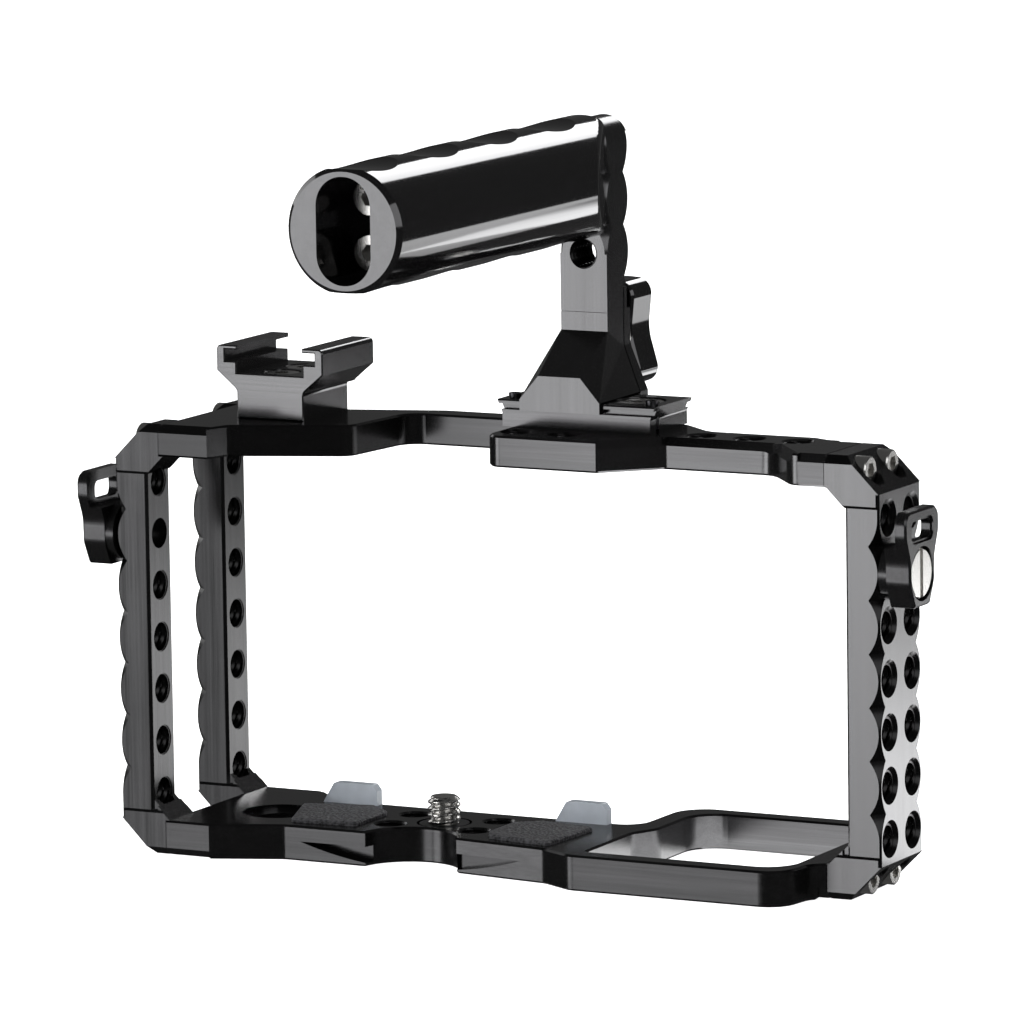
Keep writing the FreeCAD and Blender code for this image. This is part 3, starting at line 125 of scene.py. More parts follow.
class ShaderTree:
    """A material's nodes, added through one method."""

    def __init__(self, name: str) -> None:
        """Start a material whose only nodes are the shader and the output."""
        self.material = bpy.data.materials.new(name)
        self.material.use_nodes = True
        self.nodes = self.material.node_tree.nodes
        self.links = self.material.node_tree.links
        self.shader = self.nodes["Principled BSDF"]

    def node(self, kind: str, settings: dict[str, Any] | None = None,
             values: dict[Any, Any] | None = None, output: Any = 0) -> Socket:
        """Add a node, set it up and fill its inputs.

        Args:
            kind: the node's type name.
            settings: attributes set before the inputs are filled.
            values: input name or index to a value or a Socket.
            output: the name or index of the output that is returned.

        Returns:
            The chosen output as a Socket.
        """
        made = self.nodes.new(kind)
        for key, value in (settings or {}).items():
            setattr(made, key, value)
        for key, value in (values or {}).items():
            self.feed(made.inputs[key], value)
        return Socket(self, made.outputs[output])

    def feed(self, target: Any, value: Any) -> None:
        """Set an input to a constant, or link a Socket to it."""
        if isinstance(value, Socket):
            self.links.new(value.output, target)
        else:
            target.default_value = value

    def set(self, name: str, value: Any) -> None:
        """Fill one of the shader's inputs."""
        self.feed(self.shader.inputs[name], value)

    def place(self, scale: Sequence[float] = (1.0, 1.0, 1.0)) -> Socket:
        """Return object coordinates in millimetres, stretched by a scale per axis."""
        coords = self.node("ShaderNodeTexCoord", output="Object")
        factor = tuple(s / MM for s in scale)
        return self.node("ShaderNodeVectorMath", {"operation": "MULTIPLY"}, {0: coords, 1: factor})

    def noise(self, place: Socket, scale: float, detail: float = 2.0) -> Socket:
        """Return a noise value from 0 to 1 over the given coordinates."""
        return self.node("ShaderNodeTexNoise", None,
                         {"Vector": place, "Scale": scale, "Detail": detail}, "Fac")

    def bump(self, height: Socket, strength: float, distance_mm: float) -> None:
        """Feed a Bump node to the shader's normal."""
        normal = self.node("ShaderNodeBump", None,
                           {"Height": height, "Strength": strength, "Distance": distance_mm * MM},
                           "Normal")
        self.set("Normal", normal)

    def mix(self, factor: Socket, first: Any, second: Any) -> Socket:
        """Mix two colours, each three numbers or a Socket."""
        first, second = (c if isinstance(c, Socket) else (*c, 1.0) for c in (first, second))
        return self.node("ShaderNodeMix", {"data_type": "RGBA"},
                         {"Factor": factor, 6: first, 7: second}, 2)

    def split(self, vector: Socket) -> list[Socket]:
        """Return a vector's X, Y and Z parts."""
        made = self.node("ShaderNodeSeparateXYZ", None, {0: vector}).output.node
        return [Socket(self, made.outputs[axis]) for axis in "XYZ"]

    def squareness(self) -> Socket:
        """Return 1 on faces square to X, Y or Z and less on slanted ones.

        It is the largest part, without its sign, of the surface's direction along the axes.
        """
        x, y, z = self.split(self.node("ShaderNodeTexCoord", output="Normal"))
        return x.size().larger(y.size()).larger(z.size())

    def across(self) -> Socket:
        """Return the object's X coordinate in millimetres."""
        return self.split(self.place())[0]


BLACK = (0.0, 0.0, 0.0)
WHITE = (1.0, 1.0, 1.0)


@dataclass(frozen=True)
class Anodised:
    """Black anodised aluminium with fine cutter lines."""

    name: str
    shine: float = 0.06
    roughness: float = 0.2
    lines: Along = Along.X
    contrast: float = 0.3
    line_depth: float = 0.15
    metallic: float = 0.97
    # Share of the shine kept on slanted cuts: painted shade on facets.
    facet_shade_share: float = 1.0
    # Share of the colour kept at the far left: painted shade towards the left.
    left_shade_share: float = 1.0
    fine_scale: float = 3.4
    broad_scale: float = 0.55
    cloud_scale: float = 0.06
    weights: tuple[float, float, float] = (0.45, 0.3, 0.25)
    spread: float = 2.2
    cool: tuple[float, float] = (1.02, 1.03)
    square_from: float = 0.93
    square_rate: float = 20.0
    # Where and how fast the painted shade towards the left fades out along X.
    left_shade_middle: float = 0.6
    left_shade_per_mm: float = 0.016
    rough_lines: float = 0.05
    rough_cloud: float = 0.04
    ridge_mm: float = 0.02

    def material(self) -> bpy.types.Material:
        """Build the material.

        Lines come from noise stretched along one axis, fine and broad, with a cloud over both.
        Their weighted sum, spread about a half, varies the colour around the shine by the
        contrast, and they roughen the surface a little and raise it. Slanted cuts keep a share
        of the shine, a painted shade for their reflections. Towards the left the colour darkens,
        down to a share of it: painted shade, too.
        """
        tree = ShaderTree(self.name)
        stretched = tree.place(self.lines.value)
        fine = tree.noise(stretched, self.fine_scale, 3.0)
        broad = tree.noise(stretched, self.broad_scale, 2.0)
        cloud = tree.noise(tree.place(), self.cloud_scale, 3.0)
        of_fine, of_broad, of_cloud = self.weights
        total = fine * of_fine + broad * of_broad + cloud * of_cloud
        tone = ((total - 0.5) * self.spread + 0.5).clamp()
        low, high = self.shine * (1.0 - self.contrast), self.shine * (1.0 + self.contrast)
        colour = tree.mix(tone, (low, low, low * self.cool[0]), (high, high, high * self.cool[1]))
        # Painted shade: slanted cuts darkened to a share of the shine.
        if self.facet_shade_share < 1.0:
            square = ((tree.squareness() - self.square_from) * self.square_rate).clamp()
            colour = self.keep(tree, colour, square, self.facet_shade_share)
        # Painted shade: the colour darkened towards the left.
        if self.left_shade_share < 1.0:
            right = (tree.across() * self.left_shade_per_mm + self.left_shade_middle).clamp()
            colour = self.keep(tree, colour, right, self.left_shade_share)
        tree.set("Base Color", colour)
        tree.set("Metallic", self.metallic)
        rough = (self.roughness - self.rough_cloud) + fine * self.rough_lines
        tree.set("Roughness", rough + cloud * self.rough_cloud)
        tree.bump(fine * 0.6 + broad * 0.4, self.line_depth, self.ridge_mm)
        return tree.material

    @staticmethod
    def keep(tree: ShaderTree, colour: Socket, mask: Socket, share: float) -> Socket:
        """Keep a colour where the mask is 1 and a share of it where the mask is 0."""
        return tree.mix(mask * (1.0 - share) + share, BLACK, colour)


@dataclass(frozen=True)
class Steel:
    """Bare turned steel."""

    name: str
    colour: tuple[float, float, float] = (0.72, 0.71, 0.69)
    roughness: float = 0.22
    grain_scale: float = 4.0
    dark_share: float = 0.82
    rough_spread: float = 0.12
    scratch: float = 0.12
    scratch_mm: float = 0.01

    def material(self) -> bpy.types.Material:
        """Build the material with faint fine scratches."""
        tree = ShaderTree(self.name)
        fine = tree.noise(tree.place(), self.grain_scale, 4.0)
        dark = tuple(c * self.dark_share for c in self.colour)
        tree.set("Base Color", tree.mix(fine, dark, self.colour))
        tree.set("Metallic", 1.0)
        tree.set("Roughness", (self.roughness - 0.05) + fine * self.rough_spread)
        tree.bump(fine, self.scratch, self.scratch_mm)
        return tree.material


@dataclass(frozen=True)
class Rubber:
    """Matt black rubber with a fine grain."""

    name: str
    colour: tuple[float, float, float] = (0.012, 0.012, 0.013)
    light_share: float = 4.5
    grain_scale: float = 1.5
    grain_mm: float = 0.3
    cloud_scale: float = 0.3
    roughness: float = 0.5

    def material(self) -> bpy.types.Material:
        """Build the material: small cells for grain over broad cloudiness."""
        tree = ShaderTree(self.name)
        place = tree.place()
        grain = tree.node("ShaderNodeTexVoronoi", None,
                          {"Vector": place, "Scale": self.grain_scale}, "Distance")
        cloud = tree.noise(place, self.cloud_scale, 3.0)
        light = tuple(c * self.light_share for c in self.colour)
        speckle = (grain * 1.5 + cloud * 0.5 - 0.45).clamp()
        tree.set("Base Color", tree.mix(speckle, self.colour, light))
        tree.set("Roughness", self.roughness + cloud * 0.2)
        tree.bump(grain, 1.0, self.grain_mm)
        return tree.material


@dataclass(frozen=True)
class Frosted:
    """Frosted grey see-through plastic."""

    name: str
    colour: tuple[float, float, float] = (0.36, 0.39, 0.43)
    light_share: float = 1.35
    cloud_scale: float = 0.4
    roughness: float = 0.3
    see_through: float = 0.35
    refraction: float = 1.46

    def material(self) -> bpy.types.Material:
        """Build the material with slight clouding in the plastic."""
        tree = ShaderTree(self.name)
        cloud = tree.noise(tree.place(), self.cloud_scale, 3.0)
        light = tuple(c * self.light_share for c in self.colour)
        tree.set("Base Color", tree.mix(cloud, self.colour, light))
        tree.set("Roughness", self.roughness + cloud * 0.12)
        tree.set("Transmission Weight", self.see_through)
        tree.set("IOR", self.refraction)
        tree.bump(cloud, 0.2, 0.05)
        return tree.material


@dataclass(frozen=True)
class PaleFloor:
    """Plain white studio paper that glows a little, so that shadows stay soft."""

    name: str
    colour: tuple[float, float, float] = (0.9, 0.9, 0.9)
    glow: float = 1.0
    grain_scale: float = 0.02
    dark_share: float = 0.985

    def material(self) -> bpy.types.Material:
        """Build the material with a faint paper grain."""
        tree = ShaderTree(self.name)
        grain = tree.noise(tree.place(), self.grain_scale, 2.0)
        dark = tuple(c * self.dark_share for c in self.colour)
        tree.set("Base Color", tree.mix(grain, dark, self.colour))
        tree.set("Roughness", 0.9)
        tree.set("Emission Color", (*WHITE, 1.0))
        tree.set("Emission Strength", self.glow)
        return tree.material


@dataclass(frozen=True)
class Glow:
    """Light given off by a reflection card, shaded by the card's own attribute."""

    name: str
    strength: float

    def material(self) -> bpy.types.Material:
        """Build the material: the shade attribute times white is the light it gives."""
        tree = ShaderTree(self.name)
        shade = tree.node("ShaderNodeAttribute", {"attribute_name": "shade"}, output="Fac")
        tree.set("Base Color", (*BLACK, 1.0))
        tree.set("Specular IOR Level", 0.0)
        tree.set("Emission Color", tree.mix(shade, BLACK, WHITE))
        tree.set("Emission Strength", self.strength)
        return tree.material


def new_object(name: str, points: np.ndarray, faces: np.ndarray,
               sharp_angle: float = 35.0) -> bpy.types.Object:
    """Make a mesh object from whole arrays.

    The sum of each face's signed volume tells which way the faces point, and they are turned
    round when it is negative.

    Args:
        name: the piece's name.
        points: vertices in metres, one row each.
        faces: four vertex numbers a row.
        sharp_angle: edges bent more than this many degrees stay sharp.

    Returns:
        The linked object, at the origin.
    """
    a, b, c, d = (points[faces[:, i]] for i in range(4))
    volume = (a * (np.cross(b, c) + np.cross(c, d))).sum()
    if volume < 0:
        faces = faces[:, ::-1]
    mesh = bpy.data.meshes.new(name)
    mesh.vertices.add(len(points))
    mesh.vertices.foreach_set("co", points.astype(np.float32).ravel())
    mesh.loops.add(faces.size)
    mesh.loops.foreach_set("vertex_index", faces.astype(np.int32).ravel())
    mesh.polygons.add(len(faces))
    mesh.polygons.foreach_set("loop_start", np.arange(0, faces.size, 4, dtype=np.int32))
    mesh.polygons.foreach_set("use_smooth", np.ones(len(faces), dtype=bool))
    mesh.update(calc_edges=True)
    mesh.validate()
    mesh.set_sharp_from_angle(angle=math.radians(sharp_angle))
    made = bpy.data.objects.new(name, mesh)
    bpy.context.scene.collection.objects.link(made)
    return made


def ring_faces(rows: int, cols: int, closed: bool) -> np.ndarray:
    """Return the quads of a grid whose columns close on themselves, and its rows too if closed."""
    row = np.arange(rows if closed else rows - 1)
    col = np.arange(cols)
    r, c = np.meshgrid(row, col, indexing="ij")
    r2, c2 = (r + 1) % rows, (c + 1) % cols
    quads = np.stack([r * cols + c, r * cols + c2, r2 * cols + c2, r2 * cols + c], axis=-1)
    return quads.reshape(-1, 4)


def axis_frame(axis: Sequence[float]) -> tuple[np.ndarray, np.ndarray, np.ndarray]:
    """Return three unit vectors, the last along the axis."""
    w = np.asarray(axis, dtype=float) / np.linalg.norm(axis)
    helper = np.array([0.0, 0.0, 1.0]) if abs(w[2]) < 0.9 else np.array([1.0, 0.0, 0.0])
    u = np.cross(helper, w)
    u /= np.linalg.norm(u)
    return u, np.cross(w, u), w


@dataclass(frozen=True)
class HoleThread:
    """The ridges of one threaded hole."""

    start: tuple[float, float, float]
    axis: tuple[float, float, float]
    length: float
    wall_r: float = 2.93
    crest_r: float = 2.5
    pitch: float = 1.27
    steepness: float = 1.3
    flat: float = 0.1
    buried: float = 0.04
    cols: int = 36
    rows_per_turn: int = 8

    def grid(self) -> np.ndarray:
        """Return the ridge surface as a closed ring of rows.

        The radius at height t and angle a runs from crest to wall as |2 f - 1| does, where f is
        the fractional part of t / pitch - a / one turn, steepened and cut off so that crests and
        roots are flat. Two more rows close it inside the wall.
        """
        rows = int(self.length / self.pitch * self.rows_per_turn) + 1
        t = np.linspace(0.0, self.length, rows)[:, None]
        turn = np.linspace(0.0, 1.0, self.cols, endpoint=False)[None, :]
        wave = np.abs(2.0 * np.mod(t / self.pitch - turn, 1.0) - 1.0)
        wave = np.clip(wave * self.steepness - self.flat, 0.0, 1.0)
        radius = self.crest_r + (self.wall_r - self.crest_r) * wave
        outer = np.full((1, self.cols), self.wall_r + self.buried)
        radius = np.concatenate([radius, outer, outer])
        height = np.concatenate([np.broadcast_to(t, (rows, self.cols)),
                                 np.full((1, self.cols), self.length), np.zeros((1, self.cols))])
        u, v, w = axis_frame(self.axis)
        angle = 2.0 * math.pi * turn
        across = np.cos(angle)[..., None] * u + np.sin(angle)[..., None] * v
        return np.asarray(self.start) + radius[..., None] * across + height[..., None] * w


def thread_piece(name: str, holes: Iterable[HoleThread], body: str,
                 finish: bpy.types.Material) -> None:
    """Join the threads of several holes into one piece.

    Args:
        name: the piece's name.
        holes: the holes.
        body: the body it rides on.
        finish: its material.
    """
    points, faces, count = [], [], 0
    for hole in holes:
        grid = hole.grid()
        rows, cols = grid.shape[:2]
        points.append(metres(grid.reshape(-1, 3)))
        faces.append(ring_faces(rows, cols, True) + count)
        count += rows * cols
    made = new_object(name, np.concatenate(points), np.concatenate(faces), 40.0)
    made.data.materials.append(finish)
    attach(made, body)
    LOG.info("%s: %d vertices", name, count)


@dataclass
class Finishes:
    """Every material of the object, built once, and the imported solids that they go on."""

    nodes: dict[str, Any]
    base: Anodised = Anodised("black_anodised_base", 0.048, 0.2, Along.X, 0.35)
    # The top plate's colour darkens towards the left: painted shade.
    top: Anodised = Anodised("black_anodised_top_left_shaded", 0.07, 0.18, Along.X, 0.25, left_shade_share=0.45)
    # The two posts are one finish; the rear post's lower shine is painted shade.
    front_post: Anodised = Anodised("black_anodised_front_post", 0.036, 0.2, Along.Z, 0.6)
    rear_post: Anodised = Anodised("black_anodised_rear_post_shaded", 0.026, 0.2, Along.Z, 0.6)
    # Slanted cuts on the wall keep only a share of its shine: painted shade.
    wall: Anodised = Anodised("black_anodised_wall_facet_shaded", 0.108, 0.24, Along.Z, 0.15, facet_shade_share=0.22)
    shoe: Anodised = Anodised("black_anodised_shoe", 0.095, 0.2, Along.X, 0.2)
    rail: Anodised = Anodised("black_anodised_rail", 0.075, 0.18, Along.X, 0.3)
    lug: Anodised = Anodised("black_anodised_lug", 0.06, 0.24, Along.Y, 0.3)
    upright: Anodised = Anodised("black_anodised_upright", 0.083, 0.18, Along.Z, 0.16)
    handle: Anodised = Anodised("black_anodised_handle", 0.07, 0.075, Along.Y, 0.12, 0.05)
    threads: Anodised = Anodised("black_anodised_threads", 0.022, 0.25, Along.X, 0.2, 0.05)
    steel: Steel = Steel("turned_steel")
    dark_steel: Steel = Steel("blackened_steel", (0.06, 0.06, 0.065), 0.32)
    rubber: Rubber = Rubber("grained_rubber")
    frosted: Frosted = Frosted("frosted_stop")
    built: dict[str, bpy.types.Material] = field(default_factory=dict)

    def get(self, which: str) -> bpy.types.Material:
        """Return a material by its field's name, made the first time it is asked for."""
        if which not in self.built:
            self.built[which] = getattr(self, which).material()
        return self.built[which]

    def dress(self, wanted: dict[str, str]) -> None:
        """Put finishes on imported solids, given as node to finish."""
        for node, which in wanted.items():
            for place in self.nodes[node].material_slots:
                place.material = self.get(which)
            LOG.info("%s: %s", node, which)


@dataclass
class CageFrame:
    """Posts, wall, plates and their threaded holes."""

    hole_first: float = 11.5
    hole_pitch: float = 10.0
    hole_count: int = 7
    lug_row: int = 5
    left_face: float = -59.6
    right_face: float = 94.9
    wall: float = 6.9
    mouth: float = 0.7
    post_rows: tuple[float, float] = (-14.7, 14.7)
    wall_rows: tuple[float, float] = (-3.5, 6.5)
    base_top: float = 6.8
    top_low: float = 77.0
    top_high: float = 83.0
    top_holes: tuple[tuple[float, float], ...] = ((17.6, -1.6), (27.6, -1.6), (52.0, 6.6),
                                                  (62.0, 6.6), (72.0, 6.6))
    base_holes: tuple[tuple[float, float], ...] = ((-9.0, -5.0), (-9.0, 5.0), (9.0, -5.0),
                                                   (9.0, 5.0))
    thread_start: float = 0.15
    side_less: float = 0.2
    plate_less: float = 0.55
    finish: dict[str, str] = field(default_factory=lambda: {
        "base_plate": "base", "top_plate": "top", "left_front_post": "front_post",
        "left_rear_post": "rear_post", "right_wall": "wall", "left_front_post_screws": "steel",
        "left_rear_post_screws": "steel", "right_wall_screws": "steel"})

    def side_threads(self, y: float, face: float, way: float,
                     skip: tuple[int, ...] = ()) -> list[HoleThread]:
        """Return the threads of one column of holes in a side.

        Args:
            y: where the column stands.
            face: X of the side's outer face.
            way: 1 where that face points right, -1 where it points left.
            skip: rows without a thread.

        Returns:
            A thread per row.
        """
        start = face - way * (self.wall - self.thread_start)
        length = self.wall - self.mouth - self.side_less
        heights = [self.hole_first + self.hole_pitch * k for k in range(self.hole_count)
                   if k not in skip]
        return [HoleThread((start, y, z), (way, 0.0, 0.0), length) for z in heights]

    def plate_threads(self, places: Sequence[tuple[float, float]], low: float,
                      high: float) -> list[HoleThread]:
        """Return the threads of upright holes through a plate."""
        length = high - low - self.plate_less
        return [HoleThread((x, y, low + self.thread_start), (0.0, 0.0, 1.0), length)
                for x, y in places]

    def build(self, finishes: Finishes) -> None:
        """Dress the solids and cut the threads."""
        finishes.dress(self.finish)
        finish = finishes.get("threads")
        lug = (self.lug_row,)
        front, rear = self.post_rows
        near, far = self.wall_rows
        columns = {
            "threads_left_front": self.side_threads(front, self.left_face, -1.0, lug),
            "threads_left_rear": self.side_threads(rear, self.left_face, -1.0),
            "threads_right_near": self.side_threads(near, self.right_face, 1.0, lug),
            "threads_right_far": self.side_threads(far, self.right_face, 1.0),
            "threads_top": self.plate_threads(self.top_holes, self.top_low, self.top_high),
            "threads_base": self.plate_threads(self.base_holes, 0.0, self.base_top),
        }
        for name, holes in columns.items():
            thread_piece(name, holes, "frame", finish)


@dataclass
class TopFittings:
    """Cold shoe, rail and their screws."""

    finish: dict[str, str] = field(default_factory=lambda: {
        "cold_shoe": "shoe", "handle_rail": "rail", "cold_shoe_screws": "steel",
        "rail_screws": "steel", "rail_stop_screws": "dark_steel"})

    def build(self, finishes: Finishes) -> None:
        """Dress the solids."""
        finishes.dress(self.finish)


@dataclass
class TopHandle:
    """Post, grip, jaw and knob."""

    x: float = 24.0
    post_front: float = 14.1
    post_rear: float = 23.6
    thread_z: float = 115.1
    thread_inset: float = 0.3
    finish: dict[str, str] = field(default_factory=lambda: {
        "handle_post": "upright", "clamp_jaw": "upright", "handle_grip": "handle",
        "clamp_knob": "handle", "handle_grip_screws": "steel", "jaw_pin": "steel",
        "knob_washer": "steel", "clamp_screw": "steel"})

    def build(self, finishes: Finishes) -> None:
        """Dress the solids and cut the open thread under the grip."""
        finishes.dress(self.finish)
        start = (self.x, self.post_front + self.thread_inset, self.thread_z)
        length = self.post_rear - self.post_front - 2.0 * self.thread_inset
        hole = HoleThread(start, (0.0, 1.0, 0.0), length)
        thread_piece("threads_post", [hole], "handle", finishes.get("threads"))


@dataclass
class CameraSeat:
    """Pads, soft stops and the camera screw with its thread."""

    head_r: float = 5.0
    head_low: float = 0.9
    head_high: float = 2.9
    head_edge: float = 0.35
    neck_less: float = 0.2
    root_r: float = 2.55
    crest_r: float = 3.15
    top: float = 12.0
    groove_low: float = 5.9
    groove_high: float = 6.8
    groove_r: float = 2.6
    pitch: float = 1.27
    steepness: float = 1.5
    flat: float = 0.2
    tip_r: float = 2.35
    tip_slope: float = 1.2
    rows: int = 48
    cols: int = 48
    finish: dict[str, str] = field(default_factory=lambda: {
        "left_pad": "rubber", "left_stop": "frosted", "right_pad": "rubber",
        "right_stop": "frosted", "camera_screw": "steel", "camera_screw_ring": "dark_steel"})

    def shaft(self) -> np.ndarray:
        """Return the screw as rows of rings from its head's middle to its tip's middle.

        Over the threaded stretch the radius is root + (crest - root) * w, where w is the clipped
        triangle wave of height / pitch - angle / one turn. Near the tip it shrinks to a bevel.
        """
        rim, edge, neck = self.head_r, self.head_edge, self.crest_r - self.neck_less
        low = np.array([[0.0, self.head_low], [rim - edge, self.head_low],
                        [rim, self.head_low + edge], [rim, self.head_high - edge],
                        [rim - edge, self.head_high], [neck, self.head_high],
                        [neck, self.groove_low], [self.groove_r, self.groove_low],
                        [self.groove_r, self.groove_high]])
        turn = np.linspace(0.0, 1.0, self.cols, endpoint=False)[None, :]
        plain_r = np.broadcast_to(low[:, :1], (len(low), self.cols))
        plain_z = np.broadcast_to(low[:, 1:], (len(low), self.cols))
        z = np.linspace(self.groove_high, self.top, self.rows)[:, None]
        wave = np.abs(2.0 * np.mod(z / self.pitch - turn, 1.0) - 1.0)
        wave = np.clip(wave * self.steepness - self.flat, 0.0, 1.0)
        limit = np.clip((self.top - z) * self.tip_slope + self.tip_r, 0.0, self.crest_r)
        radius = np.minimum(self.root_r + (self.crest_r - self.root_r) * wave, limit)
        end_r = np.zeros((1, self.cols))
        r = np.concatenate([plain_r, radius, end_r])
        height = np.concatenate([plain_z, np.broadcast_to(z, radius.shape),
                                 np.full((1, self.cols), self.top)])
        angle = 2.0 * math.pi * turn
        return np.stack([r * np.cos(angle), r * np.sin(angle), height], axis=-1)

    def build(self, finishes: Finishes) -> None:
        """Dress the pads and stops and make the threaded screw."""
        finishes.dress(self.finish)
        grid = self.shaft()
        rows, cols = grid.shape[:2]
        screw = new_object("threaded_camera_screw", metres(grid.reshape(-1, 3)),
                           ring_faces(rows, cols, False))
        screw.data.materials.append(finishes.get("steel"))
        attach(screw, "screw")
        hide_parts("camera_screw")
        LOG.info("threaded_camera_screw: %d vertices", rows * cols)


@dataclass
class StrapLugs:
    """The two strap lugs and their screws."""

    finish: dict[str, str] = field(default_factory=lambda: {
        "left_strap_lug": "lug", "left_lug_screw": "steel", "right_strap_lug": "lug",
        "right_lug_screw": "steel"})

    def build(self, finishes: Finishes) -> None:
        """Dress the solids."""
        finishes.dress(self.finish)


@dataclass(frozen=True)
class SoftBox:
    """One large area light that faces a point."""

    name: str
    place: tuple[float, float, float]
    target: tuple[float, float, float]
    width: float
    height: float
    power: float

    def build(self) -> None:
        """Add the light."""
        data = bpy.data.lights.new(self.name, "AREA")
        data.shape = "RECTANGLE"
        data.size = self.width
        data.size_y = self.height
        data.energy = self.power
        made = bpy.data.objects.new(self.name, data)
        made.location = self.place
        way = Vector(self.target) - Vector(self.place)
        made.rotation_euler = way.to_track_quat("-Z", "Y").to_euler()
        made.visible_glossy = False
        bpy.context.scene.collection.objects.link(made)


@dataclass(frozen=True)
class Card:
    """A glowing sheet that only reflections see, given by the directions it covers.

    Turn is the angle from the front towards the right and rise the angle above level, both in
    degrees. The shade goes from low at the lower rise to full at the rise called full.
    """

    name: str
    turn: tuple[float, float]
    rise: tuple[float, float]
    distance: float
    strength: float
    low: float = 1.0
    full: float = 90.0
    cells: int = 16

    def build(self) -> None:
        """Make the sheet as part of a sphere round the object."""
        u = np.radians(np.linspace(*self.turn, self.cells))[None, :]
        level = np.linspace(*self.rise, self.cells)[:, None]
        v = np.radians(level)
        ways = np.broadcast_arrays(np.sin(u) * np.cos(v), -np.cos(u) * np.cos(v), np.sin(v))
        points = np.stack(ways, axis=-1).reshape(-1, 3) * self.distance
        reach = np.clip((level - self.rise[0]) / (self.full - self.rise[0]), 0.0, 1.0)
        shade = np.broadcast_to(self.low + (1.0 - self.low) * reach, (self.cells, self.cells))
        sheet(self.name, points, shade.ravel(), self.cells, self.strength)


@dataclass(frozen=True)
class FloorCard:
    """A glowing patch of floor behind the object that only reflections see.

    It leans to the right with distance: at a place y its sides stand at x + lean * y.
    """

    name: str
    x: tuple[float, float]
    y: tuple[float, float]
    fade_from: float
    strength: float
    lean: float = 0.52
    height: float = -0.001
    cells: int = 24

    def build(self) -> None:
        """Make the patch; its shade falls from 1 at fade_from to 0 at the far edge."""
        y = np.linspace(*self.y, self.cells)[:, None]
        x = np.linspace(*self.x, self.cells)[None, :] + self.lean * y
        points = np.stack(np.broadcast_arrays(x, y, self.height), axis=-1).reshape(-1, 3)
        shade = np.clip((self.y[1] - y) / (self.y[1] - self.fade_from), 0.0, 1.0)
        shade = np.broadcast_to(shade, (self.cells, self.cells))
        sheet(self.name, points, shade.ravel(), self.cells, self.strength)


@dataclass(frozen=True)
class Pane:
    """A glowing upright sheet behind the object that only reflections see.

    Its corners are (x, z) places in metres in the plane at depth y, going round, and each has its
    own share of the strength. In between, a point is ((1-u)(1-v) A + u(1-v) B + u v C + (1-u) v D).
    """

    name: str
    y: float
    corners: tuple[tuple[float, float], ...]
    shares: tuple[float, ...]
    strength: float
    cells: int = 24

    def build(self) -> None:
        """Make the sheet."""
        u = np.linspace(0.0, 1.0, self.cells)[None, :]
        v = np.linspace(0.0, 1.0, self.cells)[:, None]
        parts = np.broadcast_arrays((1 - u) * (1 - v), u * (1 - v), u * v, (1 - u) * v)
        weights = np.stack(parts, axis=-1)
        place = weights @ np.array(self.corners)
        shade = np.clip(weights @ np.array(self.shares), 0.0, 1.0)
        points = np.stack([place[..., 0], np.full_like(shade, self.y), place[..., 1]], axis=-1)
        sheet(self.name, points.reshape(-1, 3), shade.ravel(), self.cells, self.strength)


def sheet(name: str, points: np.ndarray, shade: np.ndarray, cells: int, strength: float) -> None:
    """Add a square grid of points as a glowing sheet that only reflections see.

    Args:
        name: the sheet's name.
        points: its points in metres, row by row.
        shade: each point's share of the full strength.
        cells: how many points a row has.
        strength: the glow at a shade of 1.
    """
    grid = np.arange(cells * cells).reshape(cells, cells)
    quads = np.stack([grid[:-1, :-1], grid[:-1, 1:], grid[1:, 1:], grid[1:, :-1]], axis=-1)
    mesh = bpy.data.meshes.new(name)
    mesh.from_pydata(points.tolist(), [], quads.reshape(-1, 4).tolist())
    attribute = mesh.attributes.new("shade", "FLOAT", "POINT")
    attribute.data.foreach_set("value", shade.astype(np.float32))
    mesh.materials.append(Glow(name, strength).material())
    made = bpy.data.objects.new(name, mesh)
    for ray in ("camera", "diffuse", "transmission", "volume_scatter", "shadow"):
        setattr(made, "visible_" + ray, False)
    bpy.context.scene.collection.objects.link(made)


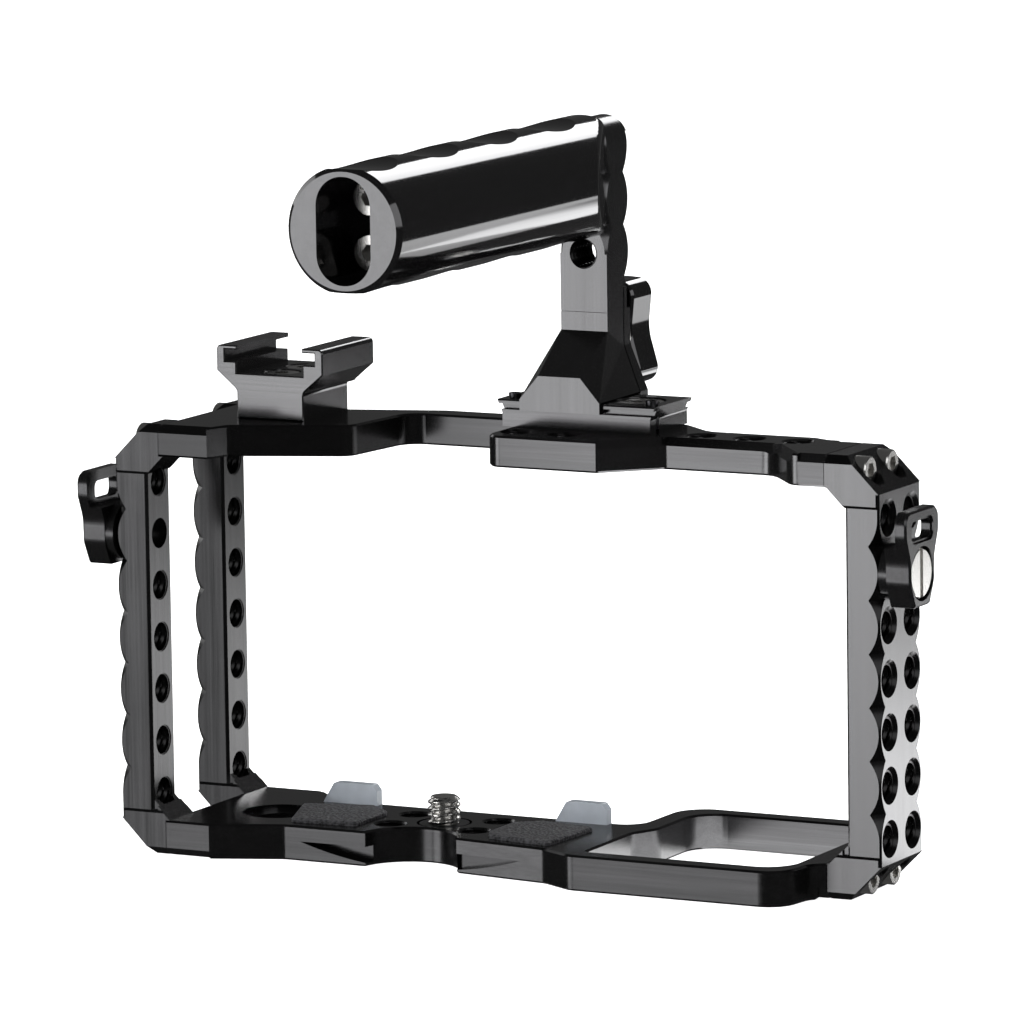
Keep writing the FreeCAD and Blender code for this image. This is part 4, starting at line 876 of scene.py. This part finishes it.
@dataclass
class Studio:
    """Camera, floor and lights."""

    azimuth: float = 27.45
    elevation: float = 8.72
    roll: float = -0.81
    lens: float = 286.67
    place: tuple[float, float, float] = (714.5, -1345.8, 300.0)
    sensor: float = 36.0
    sight: float = 100.0
    floor_half: float = 12.0
    sky: float = 0.07
    lights: tuple[SoftBox, ...] = (
        SoftBox("front_box", (-0.9, -1.6, 0.9), (0.0, 0.0, 0.08), 1.6, 1.0, 34.0),
        SoftBox("right_box", (1.5, 0.6, 0.5), (0.0, 0.0, 0.06), 0.9, 0.9, 18.0),
        SoftBox("top_box", (0.3, 0.4, 1.8), (0.0, 0.0, 0.0), 1.2, 1.2, 22.0),
    )
    cards: tuple[Card | FloorCard | Pane, ...] = (
        Card("front_card", (-34.0, -14.0), (-15.0, 2.0), 2.2, 4.2, 0.3, -8.0),
        Card("front_left_card", (-56.0, -38.0), (-15.0, 2.0), 2.2, 5.5, 0.3, -8.0),
        Pane("post_pane", 0.45, ((0.105, -0.09), (0.2, -0.09), (0.2, 0.0), (0.105, 0.0)),
             (1.8, 1.8, 0.0, 0.0), 5.2),
        Pane("grip_pane", 0.47,
             ((0.142, -0.168), (0.294, -0.025), (0.203, 0.023), (0.102, -0.074)),
             (0.45, 1.0, 1.0, 0.45), 3.0),
        FloorCard("floor_right", (0.03, 0.32), (0.055, 0.42), 0.15, 4.2),
        FloorCard("floor_opening", (0.024, 0.062), (0.012, 0.054), 0.05, 5.2, 0.0),
        Card("high_card", (177.6, 196.0), (24.0, 42.0), 1.8, 5.5),
        Card("right_card", (35.0, 80.0), (6.0, 34.0), 2.0, 1.6),
        Card("left_card", (-125.0, -75.0), (8.0, 34.0), 2.0, 1.6),
    )

    def camera(self) -> None:
        """Make the camera from its turn, tilt and roll.

        Right is (cos a, sin a, 0), forward (-sin a cos e, cos a cos e, -sin e) and up their
        cross product, and then right and up turn together by the roll.
        """
        a, e, r = (math.radians(v) for v in (self.azimuth, self.elevation, self.roll))
        right = Vector((math.cos(a), math.sin(a), 0.0))
        forward = Vector((-math.sin(a) * math.cos(e), math.cos(a) * math.cos(e), -math.sin(e)))
        up = right.cross(forward)
        side = right * math.cos(r) + up * math.sin(r)
        above = up * math.cos(r) - right * math.sin(r)
        spot = Vector(metres(self.place))
        data = bpy.data.cameras.new("camera")
        data.lens = self.lens
        data.sensor_width = self.sensor
        data.clip_end = self.sight
        made = bpy.data.objects.new("camera", data)
        columns = (side, above, -forward, spot)
        rows = [[column[i] for column in columns] for i in range(3)]
        made.matrix_world = Matrix(rows + [[0.0, 0.0, 0.0, 1.0]])
        bpy.context.scene.collection.objects.link(made)
        bpy.context.scene.camera = made

    def floor(self) -> None:
        """Lay the pale floor."""
        h = self.floor_half
        points = np.array([[-h, -h, 0.0], [h, -h, 0.0], [h, h, 0.0], [-h, h, 0.0]])
        mesh = bpy.data.meshes.new("studio_floor")
        mesh.from_pydata(points.tolist(), [], [(0, 1, 2, 3)])
        made = bpy.data.objects.new("studio_floor", mesh)
        made.data.materials.append(PaleFloor("white_paper").material())
        made.visible_glossy = False
        made.visible_shadow = False
        bpy.context.scene.collection.objects.link(made)

    def light(self) -> None:
        """Set the lights and a dim sky."""
        world = bpy.data.worlds.new("studio")
        world.use_nodes = True
        sky = world.node_tree.nodes["Background"]
        sky.inputs["Color"].default_value = (*WHITE, 1.0)
        sky.inputs["Strength"].default_value = self.sky
        bpy.context.scene.world = world
        bpy.context.scene.view_settings.view_transform = "Standard"
        for item in self.lights + self.cards:
            item.build()


def main() -> None:
    """Load the frame, build the studio, then dress each sub-assembly in order."""
    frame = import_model()
    studio = Studio()
    studio.camera()
    studio.floor()
    studio.light()
    finishes = Finishes(frame["nodes"])
    for part in (CageFrame(), TopFittings(), TopHandle(), CameraSeat(), StrapLugs()):
        part.build(finishes)
        LOG.info("%s done", type(part).__name__)
    bpy.context.view_layer.update()


if __name__ == "__main__":
    logging.basicConfig(level=logging.INFO)
    main()
